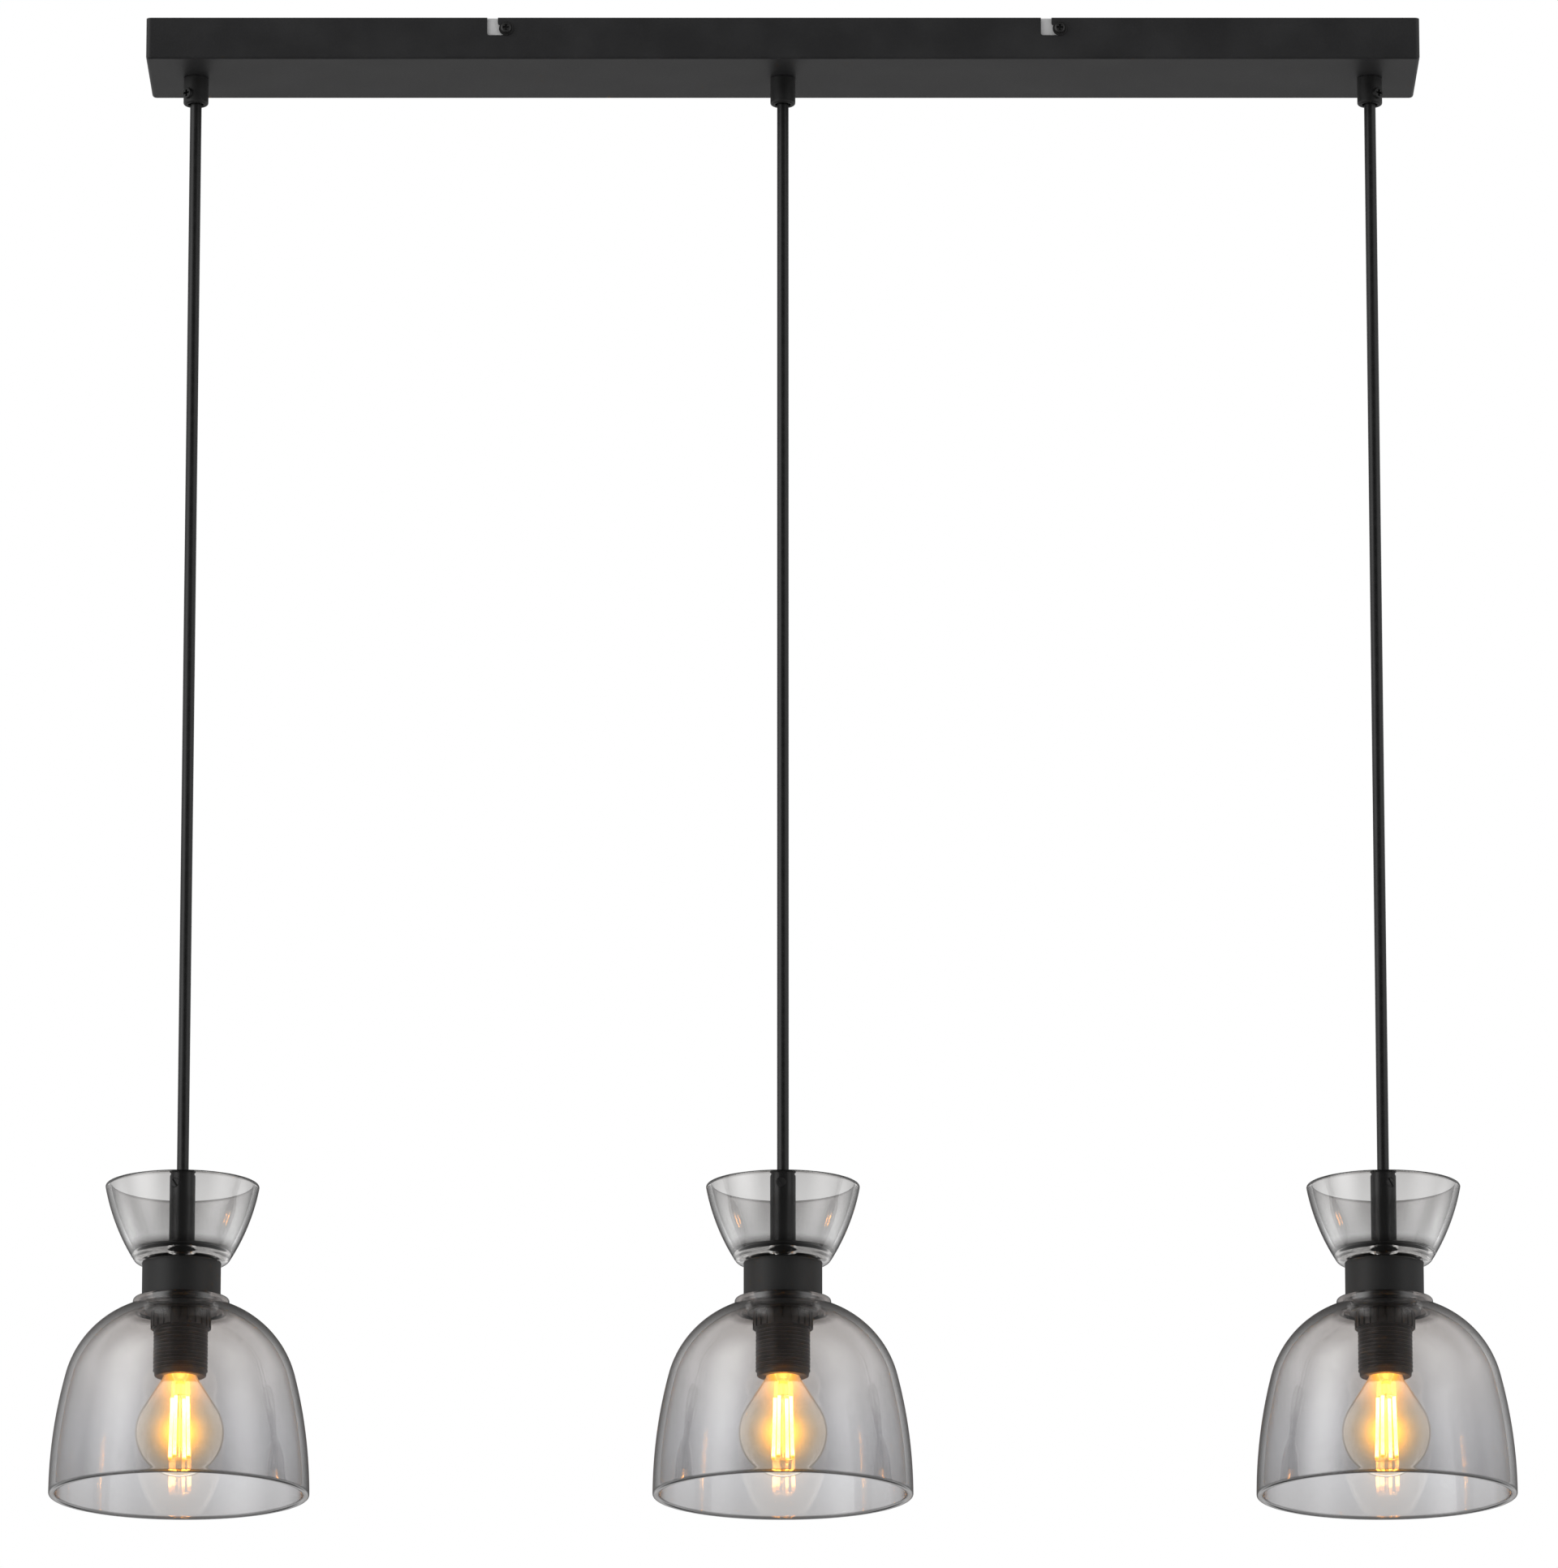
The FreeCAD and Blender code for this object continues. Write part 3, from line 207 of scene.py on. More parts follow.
class Recipe:
    """The nodes of one material, or of the world."""

    def __init__(self, owner):
        owner.use_nodes = True
        self.owner = owner
        self.tree = owner.node_tree
        self.tree.nodes.clear()

    def node(self, kind, settings, sockets, output=0):
        """Adds a node, with its settings first and then what goes into its sockets."""
        made = self.tree.nodes.new("ShaderNode" + kind)
        for name, value in settings.items():
            if name == "stops":
                while len(made.color_ramp.elements) < len(value):
                    made.color_ramp.elements.new(0.5)
                for element, (position, colour) in zip(made.color_ramp.elements, value):
                    element.position = position
                    element.color = colour
            else:
                setattr(made, name, value)
        for name, value in sockets.items():
            if isinstance(value, Wire):
                self.tree.links.new(value.socket, made.inputs[name])
            else:
                made.inputs[name].default_value = value
        return Wire(self, made.outputs[output]) if made.outputs else None

    def maths(self, operation, *values):
        return self.node("Math", {"operation": operation}, dict(enumerate(values)))

    def blend(self, share, first, second):
        """A colour between two."""
        return self.node("Mix", {"data_type": "RGBA"}, {0: share, 6: first, 7: second}, 2)

    def place(self, level=0.0, scale=(1.0, 1.0, 1.0)):
        """Object coordinates, with their zero at a level, and stretched or squeezed."""
        here = self.node("TexCoord", {}, {}, "Object")
        sockets = {"Vector": here, "Location": (0.0, 0.0, -level), "Scale": scale}
        return self.node("Mapping", {}, sockets)

    def axis(self, place, name):
        return self.node("SeparateXYZ", {}, {"Vector": place}, name)

    def noise(self, place, size, detail=3.0):
        """A value about 0.5 that wanders over this size in metres."""
        return self.node("TexNoise", {}, {"Vector": place, "Scale": 1 / size, "Detail": detail})

    def bump(self, height, depth):
        """Relief of this depth in metres."""
        sockets = {"Height": height, "Strength": 1.0, "Distance": depth}
        return self.node("Bump", {}, sockets, "Normal")

    def slant(self):
        """0 where the surface faces the eye, 1 where it is seen edge on."""
        return self.node("LayerWeight", {}, {"Blend": 0.5}, "Facing")

    def light_path(self, name):
        return self.node("LightPath", {}, {}, name)

    def principled(self, sockets):
        return self.node("BsdfPrincipled", {}, sockets)

    def surface(self, shader):
        """Ends the recipe in a shader, and gives back the finished material or world."""
        kind = "OutputWorld" if isinstance(self.owner, bpy.types.World) else "OutputMaterial"
        self.node(kind, {}, {"Surface": shader})
        return self.owner


def grey(level):
    return (level, level, level, 1.0)


def rgb(red, green, blue):
    return (red, green, blue, 1.0)


def new_finish(name):
    return Recipe(bpy.data.materials.new(name))


# Finishes


def powder_coat(name, low, high, roughness, grain, depth, gloss=0.35):
    """Baked paint with a fine orange-peel grain and slightly worn lighter patches."""
    mix = new_finish(name)
    here = mix.place()
    patches = mix.noise(here, size=0.03)
    fine = mix.noise(here, size=grain, detail=5.0)
    wear = ((patches - 0.35) * 2 + (fine - 0.5) * 0.8).clipped()
    paint = mix.principled(
        {
            "Base Color": mix.blend(wear, low, high),
            "Roughness": (patches * 0.12 + fine * 0.14 + roughness - 0.13).clipped(),
            "Specular IOR Level": gloss,
            "Normal": mix.bump(fine, depth),
        }
    )
    return mix.surface(paint)


def moulded_plastic(name, low, high, roughness, gloss=0.4):
    """Plastic with a faint clouding and the fine skin of its mould."""
    mix = new_finish(name)
    here = mix.place()
    cloud = mix.noise(here, size=0.008)
    fine = mix.noise(here, size=0.0006, detail=4.0)
    plastic = mix.principled(
        {
            "Base Color": mix.blend(((cloud - 0.3) * 2.2).clipped(), low, high),
            "Roughness": (cloud * 0.15 + fine * 0.1 + roughness - 0.12).clipped(),
            "Specular IOR Level": gloss,
            "Normal": mix.bump(fine, depth=0.00003),
        }
    )
    return mix.surface(plastic)


def cord_sheath():
    """Black flexible sheath with faint lengthwise draw marks."""
    mix = new_finish("cord_sheath")
    marks = mix.noise(mix.place(scale=(1.0, 1.0, 0.02)), size=0.0008, detail=4.0)
    dust = mix.noise(mix.place(), size=0.004)
    sheath = mix.principled(
        {
            "Base Color": mix.blend(((dust - 0.3) * 2).clipped(), grey(0.005), grey(0.011)),
            "Roughness": (marks * 0.16 + dust * 0.1 + 0.26).clipped(),
            "Specular IOR Level": 0.5,
            "Normal": mix.bump(marks, depth=0.00004),
        }
    )
    return mix.surface(sheath)


def plated_steel(name, low, high, roughness, metal=1.0):
    """Plated metal with the small crystals of its plating, each a little lighter or darker."""
    mix = new_finish(name)
    here = mix.place()
    crystals = mix.node("TexVoronoi", {}, {"Vector": here, "Scale": 260.0}, "Color")
    spangle = mix.node("SeparateColor", {}, {"Color": crystals}, "Red")
    fine = mix.noise(here, size=0.0007, detail=5.0)
    plate = mix.principled(
        {
            "Base Color": mix.blend((spangle * 0.7 + fine * 0.3).clipped(), low, high),
            "Metallic": metal,
            "Roughness": (spangle * 0.12 + fine * 0.12 + roughness - 0.1).clipped(),
            "Normal": mix.bump(fine, depth=0.00002),
        }
    )
    return mix.surface(plate)


def earth_lead():
    """Green insulation with a yellow stripe that winds along it."""
    mix = new_finish("earth_lead")
    here = mix.place()
    winding = mix.axis(here, "X") * 520 + mix.axis(here, "Y") * 1400
    stripe = (mix.maths("SINE", winding) * 6 + 0.5).clipped()
    scuff = mix.noise(here, size=0.002)
    insulation = mix.principled(
        {
            "Base Color": mix.blend(stripe, rgb(0.08, 0.30, 0.06), rgb(0.80, 0.62, 0.05)),
            "Roughness": (scuff * 0.2 + 0.35).clipped(),
        }
    )
    return mix.surface(insulation)


def see_through(mix, glass, shade):
    """Lets lamps shine through the glass, tinted by it."""
    clear = mix.node("BsdfTransparent", {}, {"Color": shade})
    shadow = mix.light_path("Is Shadow Ray")
    return mix.surface(mix.node("MixShader", {}, {0: shadow, 1: glass, 2: clear}))


def smoked_glass(name, foot, top, tints, edge, walls):
    """Smoke tinted glass with a thin mirror coat, with painted shade where it is seen edge on.

    The tints run from the glass's foot to its top. The painted dark edges show between the
    walls' two heights, as shares of the same rise.
    """
    mix = new_finish(name)
    here = mix.place()
    rise = ((mix.axis(here, "Z") - foot) / (top - foot)).clipped()
    cloud = mix.noise(here, size=0.05, detail=1.0)
    ramp = mix.node("ValToRGB", {"stops": tints}, {"Fac": rise}, "Color")
    tint = mix.blend((cloud * 0.12).clipped(), ramp, edge)
    # Painted shade: the colour darkens towards the edge colour as the wall slants away, and a
    # dark shader takes over where it is seen edge on
    slant = mix.slant()
    glass = mix.principled(
        {
            "Base Color": mix.blend(((slant - 0.4) * 0.5).clipped(), tint, edge),
            "Roughness": (cloud * 0.02).clipped(),
            "IOR": GLASS_IOR,
            "Transmission Weight": 1.0,
            "Coat Weight": COAT_WEIGHT,
            "Coat IOR": COAT_IOR,
            "Coat Roughness": COAT_ROUGHNESS,
        }
    )
    painted_edge_shade = mix.principled({"Base Color": edge, "Roughness": 0.3, "Specular IOR Level": 0.2})
    edge_on = ((slant - EDGE_START) / EDGE_REACH).clipped() ** 2
    low, high = walls
    on_walls = ((rise - low) * 20).clipped() * ((high - rise) * 20).clipped()
    share = edge_on * on_walls * EDGE_SHARE
    both = mix.node("MixShader", {}, {0: share, 1: glass, 2: painted_edge_shade})
    return see_through(mix, both, rgb(0.80, 0.79, 0.78))


def bulb_glass():
    """Clear glass with a painted warm glow from the filaments behind it, and a painted sheen.
    """
    mix = new_finish("bulb_glass")
    here = mix.place()
    slant = mix.slant()
    front = (1 - slant).clipped()
    cloud = mix.noise(here, size=0.02, detail=1.0)
    neck = ((mix.axis(here, "Z") - GLOBE_TOP) / PAINTED_NECK_GLOW_REACH + 1).clipped()
    # Painted light, given as emission: a sheen towards the edges, an amber halo where the glass
    # faces the eye, and a warm glow in the neck
    painted_sheen = mix.blend(slant**4, rgb(0.075, 0.058, 0.036), rgb(0.50, 0.45, 0.40))
    painted_glow = mix.blend(front**PAINTED_GLOW_POWER, painted_sheen, rgb(1.9, 0.92, 0.17))
    painted_glow_colour = mix.blend(neck * front**PAINTED_NECK_GLOW_POWER, painted_glow, rgb(2.0, 0.74, 0.05))
    glass = mix.principled(
        {
            # The glass is also tinted amber where it faces the eye, a painted warm glow
            "Base Color": mix.blend(front**8, rgb(0.98, 0.965, 0.94), rgb(1.0, 0.76, 0.40)),
            "Roughness": (cloud * 0.02).clipped(),
            "IOR": GLASS_IOR,
            "Transmission Weight": 1.0,
            "Emission Color": painted_glow_colour,
            "Emission Strength": 0.8,
        }
    )
    return see_through(mix, glass, grey(0.97))


def clear_part(name, tint, painted_glow=0.0):
    """Clear glass or plastic with slightly cloudy streaks, and a painted warm glow of the given
    strength, even all over.
    """
    mix = new_finish(name)
    cloud = mix.noise(mix.place(), size=0.01, detail=2.0)
    glass = mix.principled(
        {
            "Base Color": mix.blend(cloud, tint, grey(0.97)),
            "Roughness": (cloud * 0.1).clipped(),
            "IOR": GLASS_IOR,
            "Transmission Weight": 1.0,
            # Painted glow: an even orange emission, as if the filaments lit it
            "Emission Color": rgb(1.0, 0.5, 0.12),
            "Emission Strength": painted_glow,
        }
    )
    return see_through(mix, glass, grey(0.95))


def glowing_filament():
    """A phosphor coated rod, brightest in its grains and dim at both of its ends."""
    mix = new_finish("glowing_filament")
    here = mix.place(level=MOUNT_BOTTOM - FILAMENT_LENGTH / 2)
    grain = mix.noise(here, size=0.0012, detail=2.0)
    hot = mix.blend(((grain - 0.3) * 2).clipped(), rgb(1.0, 0.42, 0.09), rgb(1.0, 0.56, 0.16))
    from_middle = abs(mix.axis(here, "Z"))
    end = ((from_middle / (FILAMENT_LENGTH / 2) - 0.80) * 6).clipped()
    rod = mix.principled(
        {
            "Base Color": rgb(0.9, 0.6, 0.2),
            "Roughness": 0.5,
            "Emission Color": mix.blend(end, hot, rgb(0.03, 0.011, 0.0012)),
            "Emission Strength": 70.0,
        }
    )
    return mix.surface(rod)


BULB_GLASS = bulb_glass()
# The bulb's glass stem gets a painted glow
MOUNT_GLASS = clear_part("mount_glass", rgb(0.98, 0.86, 0.62), painted_glow=0.5)
CUP_GLASS = smoked_glass(
    "cup_glass",
    foot=COLLAR_TOP,
    top=CUP_RIM,
    tints=[
        (0.15, rgb(0.20, 0.195, 0.19)),
        (0.24, rgb(0.78, 0.78, 0.78)),
        (0.6, rgb(0.71, 0.705, 0.70)),
        (0.96, rgb(0.64, 0.63, 0.625)),
        (0.972, rgb(0.42, 0.41, 0.40)),
    ],
    edge=rgb(0.10, 0.09, 0.085),
    walls=(0.2, 1.05),
)
BELL_GLASS = smoked_glass(
    "bell_glass",
    foot=BELL_RIM,
    top=NECK_LEVEL,
    tints=[
        (0.011, rgb(0.04, 0.04, 0.04)),
        (0.017, rgb(0.55, 0.545, 0.55)),
        (0.25, rgb(0.66, 0.66, 0.675)),
        (0.65, rgb(0.77, 0.755, 0.75)),
        (0.94, rgb(0.87, 0.84, 0.82)),
        (0.955, rgb(0.17, 0.15, 0.142)),
    ],
    edge=rgb(0.17, 0.155, 0.15),
    walls=(-0.05, 0.93),
)
# A darker copy of the zinc plate for the nipples, painted shade where they sit down in the
# collar
SHADED_ZINC_COPY = plated_steel("painted_shade_zinc", grey(0.05), grey(0.09), roughness=0.5, metal=0.6)

# The finish of each slot of the model
FINISHES = {
    "zinc_steel": plated_steel("zinc_plate", grey(0.72), grey(0.86), roughness=0.5, metal=0.4),
    "black_screw": powder_coat(
        "blackened_screw",
        grey(0.010),
        grey(0.030),
        roughness=0.38,
        grain=0.0008,
        depth=0.00002,
        gloss=0.5,
    ),
    "canopy_black": powder_coat(
        "canopy_coat",
        rgb(0.019, 0.019, 0.020),
        rgb(0.029, 0.029, 0.030),
        roughness=0.5,
        grain=0.0009,
        depth=0.00006,
    ),
    "grip_plastic": moulded_plastic("grip_plastic", grey(0.010), grey(0.018), roughness=0.5),
    "cord_black": cord_sheath(),
    "block_plastic": moulded_plastic(
        "block_plastic", rgb(0.72, 0.71, 0.67), rgb(0.82, 0.81, 0.77), roughness=0.45
    ),
    "brass": plated_steel("brass", rgb(0.62, 0.44, 0.18), rgb(0.78, 0.60, 0.30), roughness=0.3),
    "lead_brown": moulded_plastic(
        "brown_lead", rgb(0.14, 0.055, 0.025), rgb(0.20, 0.085, 0.04), roughness=0.45
    ),
    "lead_blue": moulded_plastic(
        "blue_lead", rgb(0.02, 0.12, 0.40), rgb(0.04, 0.18, 0.52), roughness=0.45
    ),
    "lead_earth": earth_lead(),
    "stem_black": powder_coat(
        "stem_coat",
        grey(0.004),
        grey(0.007),
        roughness=0.2,
        grain=0.0007,
        depth=0.000005,
        gloss=0.5,
    ),
    "collar_black": powder_coat(
        "collar_coat", grey(0.014), grey(0.022), roughness=0.5, grain=0.0007, depth=0.00005
    ),
    "washer_clear": clear_part("washer_plastic", rgb(0.12, 0.12, 0.12)),
    "holder_black": moulded_plastic(
        "holder_plastic",
        rgb(0.022, 0.017, 0.014),
        rgb(0.040, 0.033, 0.028),
        roughness=0.34,
        gloss=0.6,
    ),
    "cap_metal": plated_steel(
        "cap_plate", rgb(0.70, 0.70, 0.68), rgb(0.84, 0.84, 0.82), roughness=0.22
    ),
    "filament": glowing_filament(),
    "smoked_glass": BELL_GLASS,
    "bulb_glass": MOUNT_GLASS,
}


# Shaping


def point_at(centre, distance, angle):
    """The point at this distance and angle from a centre."""
    return (centre[0] + distance * math.cos(angle), centre[1] + distance * math.sin(angle))


def start_profile(radius, height):
    profile = bmesh.new()
    return profile, profile.verts.new((radius, 0, height))


def run_to(profile, tip, *points):
    """Straight runs of the profile through these points, to a new tip."""
    for radius, height in points:
        end = profile.verts.new((radius, 0, height))
        profile.edges.new((tip, end))
        tip = end
    return tip


def sweep(profile, tip, centre, angle, steps):
    """An arc of the profile round a centre, anticlockwise seen from the front, to a new tip."""
    swept = bmesh.ops.spin(
        profile,
        geom=[tip],
        cent=(centre[0], 0, centre[1]),
        axis=(0, -1, 0),
        angle=angle,
        steps=steps,
    )
    return next(item for item in swept["geom_last"] if isinstance(item, bmesh.types.BMVert))


def round_corners(profile, corners, size, steps=5):
    """Rounds these corners of the profile, one after another."""
    for corner in corners:
        bmesh.ops.bevel(
            profile,
            geom=[corner],
            offset=size,
            offset_type="OFFSET",
            segments=steps,
            profile=0.5,
            affect="VERTICES",
            material=-1,
        )


def turn_whole(profile, steps):
    """Turns the profile round the upright axis into a closed surface."""
    bmesh.ops.spin(
        profile,
        geom=profile.verts[:] + profile.edges[:],
        cent=(0, 0, 0),
        axis=(0, 0, 1),
        angle=2 * math.pi,
        steps=steps,
        use_merge=True,
    )
    bmesh.ops.remove_doubles(profile, verts=profile.verts[:], dist=1e-6)
    bmesh.ops.recalc_face_normals(profile, faces=profile.faces[:])


def add_to_scene(shape, name):
    """Turns a shape into an object of the scene."""
    mesh = bpy.data.meshes.new(name)
    shape.to_mesh(mesh)
    shape.free()
    made = bpy.data.objects.new(name, mesh)
    bpy.context.scene.collection.objects.link(made)
    return made


def finished(shape, name, body, material, replaced, x=0.0):
    """Turns a shape into a piece of the scene, in its place."""
    bmesh.ops.translate(shape, verts=shape.verts[:], vec=(x, 0, 0))
    for face in shape.faces:
        face.smooth = True
    for edge in shape.edges:
        edge.smooth = len(edge.link_faces) != 2 or edge.calc_face_angle(0) < CREASE
    piece = add_to_scene(shape, name)
    piece.data.materials.append(material)
    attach(piece, body)
    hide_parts(replaced)
    return piece


# Camera


def make_camera():
    """A long lens from below, tilted up to take in the whole object."""
    data = bpy.data.cameras.new("camera")
    data.sensor_width = 36
    data.lens = CAMERA_LENS
    data.clip_end = CAMERA_REACH
    camera = bpy.data.objects.new("camera", data)
    camera.location = CAMERA_PLACE
    camera.rotation_euler = (math.radians(90 + CAMERA_RISE), 0, 0)
    bpy.context.scene.collection.objects.link(camera)
    bpy.context.scene.camera = camera


# Cords


def cord_line(name, points):
    """The cord's own line, as a smooth curve through its few points."""
    curve = bpy.data.curves.new(name, "CURVE")
    curve.dimensions = "3D"
    curve.resolution_u = 12
    spline = curve.splines.new("NURBS")
    spline.points.add(len(points) - 1)
    for point, place in zip(spline.points, points):
        point.co = (*place, 1)
    spline.order_u = 3
    spline.use_endpoint_u = True
    line = bpy.data.objects.new(name, curve)
    bpy.context.scene.collection.objects.link(line)
    bpy.context.view_layer.update()
    return line


def points_on(line):
    """The points that a curve without a bevel becomes when it is made a mesh."""
    graph = bpy.context.evaluated_depsgraph_get()
    mesh = bpy.data.meshes.new_from_object(line.evaluated_get(graph))
    points = [vertex.co.copy() for vertex in mesh.vertices]
    bpy.data.meshes.remove(mesh)
    return points


def tube_along(path, radius, sides=32):
    """A round tube through the points of a path that runs downwards, closed at both ends."""
    shape = bmesh.new()
    made = bmesh.ops.create_circle(shape, cap_ends=True, radius=radius, segments=sides)
    bmesh.ops.translate(shape, verts=made["verts"], vec=path[0])
    end = made["verts"][0].link_faces[:]
    for here, there in zip(path, path[1:]):
        end = bmesh.ops.extrude_discrete_faces(shape, faces=end)["faces"]
        bmesh.ops.translate(shape, verts=end[0].verts[:], vec=there - here)
    bmesh.ops.holes_fill(shape, edges=shape.edges[:], sides=sides)
    bmesh.ops.recalc_face_normals(shape, faces=shape.faces[:])
    return shape


def cord_stretch(name, body, points, replaced):
    """One stretch of the cord's sheath, round a smooth line through its points."""
    line = cord_line(f"{name}_line", points)
    path = points_on(line)
    bpy.data.objects.remove(line)
    tube = tube_along(path, CORD_RADIUS)
    piece = finished(tube, name, body, FINISHES["cord_black"], replaced)
    return piece, path


def bending_stretch(name, below, points, replaced):
    """A short stretch of the cord, taken off its body with its place kept in its mesh."""
    piece, _ = cord_stretch(name, below, points, replaced)
    piece.parent = None
    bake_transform(piece)
    return piece


def make_cord(pendant, x):
    """The cord: a short stretch at the fore and aft bend, one at the sideways bend, and the
    rest.
    """
    bend, hanging = f"bend_{pendant}", f"cord_{pendant}"
    first = bending_stretch(
        f"cord_sheath_bend_{pendant}",
        bend,
        [(x, 0, CORD_TOP), (x, 0, -0.0395), (x, 0, -0.0435), (x, 0, BEND_LEVEL)],
        f"cord_bend_{pendant}",
    )
    second = bending_stretch(
        f"cord_sheath_upper_{pendant}",
        hanging,
        [(x, 0, BEND_LEVEL), (x, 0, -0.0515), (x, 0, -0.0555), (x, 0, CORD_START)],
        f"cord_{pendant}",
    )
    cord, path = cord_stretch(
        f"cord_sheath_{pendant}",
        hanging,
        [(x, 0, CORD_START), (x, 0, -0.20), (x, 0, -0.36), (x, 0, -0.52), (x, 0, CORD_END)],
        f"cord_{pendant}",
    )
    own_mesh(cord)


# Glasses and bulbs


def cup_shape():
    """A bowl whose foot laps over the collar's top and rounds into one long flare."""
    foot = (CUP_RECESS, COLLAR_TOP - CUP_FOOT_LAP + CUP_FOOT_ROUND)
    start = point_at(foot, CUP_FOOT_ROUND, -CUP_FLARE)
    flare = point_at(start, -CUP_FLARE_RADIUS, -CUP_FLARE)
    inner = CUP_FLARE_RADIUS - CUP_WALL
    outer_rim = math.asin((CUP_RIM - flare[1]) / CUP_FLARE_RADIUS)
    inner_rim = math.asin((CUP_RIM - flare[1]) / inner)
    inner_foot = math.asin((CUP_FLOOR - flare[1]) / inner)
    seat = COLLAR_TOP + CONTACT_GAP
    profile, first = start_profile(CUP_RECESS, seat)
    tip = run_to(profile, first, (CUP_RECESS, COLLAR_TOP - CUP_FOOT_LAP))
    tip = sweep(profile, tip, foot, math.pi / 2 - CUP_FLARE, 12)
    outer_top = sweep(profile, tip, flare, outer_rim + CUP_FLARE, 24)
    inner_top = run_to(profile, outer_top, point_at(flare, inner, inner_rim))
    corner = sweep(profile, inner_top, flare, inner_foot - inner_rim, 20)
    last = run_to(profile, corner, (CUP_HOLE, CUP_FLOOR), (CUP_HOLE, seat))
    profile.edges.new((last, first))
    round_corners(profile, [outer_top, inner_top], GLASS_EDGE)
    round_corners(profile, [corner], CUP_FLOOR_ROUND, 8)
    turn_whole(profile, 128)
    return profile


def bell_shape():
    """A bell whose side is a long shallow arc that runs into a tight round shoulder."""
    side = (BELL_RADIUS - BELL_SIDE_RADIUS, BELL_RIM)
    shoulder = point_at(side, BELL_SIDE_RADIUS - BELL_SHOULDER_RADIUS, BELL_SIDE_TURN)
    inner = BELL_SHOULDER_RADIUS - BELL_WALL
    outer_end = math.acos((BELL_NECK - shoulder[0]) / BELL_SHOULDER_RADIUS)
    inner_end = math.acos((BELL_RECESS - shoulder[0]) / inner)
    top = NECK_LEVEL - CONTACT_GAP
    seat = NECK_LEVEL - BELL_TOP_WALL + CONTACT_GAP
    profile, outer_rim = start_profile(BELL_RADIUS, BELL_RIM)
    tip = sweep(profile, outer_rim, side, BELL_SIDE_TURN, 24)
    tip = sweep(profile, tip, shoulder, outer_end - BELL_SIDE_TURN, 32)
    neck = run_to(profile, tip, (BELL_NECK, top))
    tip = run_to(profile, neck, (BELL_HOLE, top), (BELL_HOLE, seat), (BELL_RECESS, seat))
    tip = run_to(profile, tip, point_at(shoulder, inner, inner_end))
    tip = sweep(profile, tip, shoulder, BELL_SIDE_TURN - inner_end, 32)
    inner_rim = sweep(profile, tip, side, -BELL_SIDE_TURN, 24)
    profile.edges.new((inner_rim, outer_rim))
    round_corners(profile, [outer_rim, inner_rim], GLASS_EDGE)
    round_corners(profile, [neck], BELL_NECK_EDGE)
    turn_whole(profile, 144)
    return profile


def globe_skin(profile, wall):
    """Half the bulb's outline from its foot to its neck, set in by the wall's thickness."""
    radius = GLOBE_RADIUS - wall
    neck = GLOBE_NECK - wall
    bend = GLOBE_NECK_ROUND + wall
    centre = (0, GLOBE_BOTTOM + GLOBE_RADIUS)
    tip = profile.verts.new((0, 0, centre[1] - radius))
    leave = sweep(profile, tip, centre, math.pi / 2 + GLOBE_TANGENT, 32)
    reach = bend * math.tan(GLOBE_TANGENT / 2)
    corner = leave.co.z + (leave.co.x - neck) / math.tan(GLOBE_TANGENT)
    before = (neck + reach * math.sin(GLOBE_TANGENT), corner - reach * math.cos(GLOBE_TANGENT))
    tip = run_to(profile, leave, before)
    tip = sweep(profile, tip, (neck + bend, corner + reach), -GLOBE_TANGENT, 8)
    return run_to(profile, tip, (neck, GLOBE_TOP))


def globe_shape():
    """The bulb's glass, hollow and open into its cap."""
    profile = bmesh.new()
    outer = globe_skin(profile, 0)
    inner = globe_skin(profile, GLOBE_WALL)
    profile.edges.new((outer, inner))
    turn_whole(profile, 96)
    return profile


def filament_ends(k):
    """The upper and the lower end of one filament. They stand a little wider at the foot."""
    around = math.radians(FILAMENT_TURN + 360 / FILAMENTS * k)
    spread = FILAMENT_FOOT_RADIUS - FILAMENT_TOP_RADIUS
    drop = math.sqrt(FILAMENT_LENGTH**2 - spread**2)
    high = MOUNT_BOTTOM - 2 * WIRE_RADIUS
    top = Vector((*point_at((0, 0), FILAMENT_TOP_RADIUS, around), high))
    foot = Vector((*point_at((0, 0), FILAMENT_FOOT_RADIUS, around), high - drop))
    return top, foot


def add_rod(shape, start, end, radius, sides, rounding=0.0):
    """Adds a round rod between two points, with its ends rounded off if asked."""
    made = bmesh.ops.create_cone(
        shape,
        cap_ends=True,
        segments=sides,
        radius1=radius,
        radius2=radius,
        depth=(end - start).length,
    )
    if rounding:
        rims = dict.fromkeys(
            rim
            for vertex in made["verts"]
            for rim in vertex.link_edges
            if abs(rim.verts[0].co.z - rim.verts[1].co.z) < 1e-9
        )
        bevelled = bmesh.ops.bevel(
            shape,
            geom=list(rims),
            offset=rounding,
            segments=4,
            profile=0.5,
            affect="EDGES",
            material=-1,
        )
        made["verts"] = [v for v in made["verts"] if v.is_valid] + bevelled["verts"]
    turn = Vector((0, 0, 1)).rotation_difference(end - start).to_matrix().to_4x4()
    bmesh.ops.transform(
        shape,
        matrix=Matrix.Translation((start + end) / 2) @ turn,
        verts=list(set(made["verts"])),
    )


def filament_shape():
    """The filaments, all round the middle of the bulb."""
    shape = bmesh.new()
    for k in range(FILAMENTS):
        add_rod(shape, *filament_ends(k), FILAMENT_RADIUS, 20, FILAMENT_END_ROUND)
    return shape


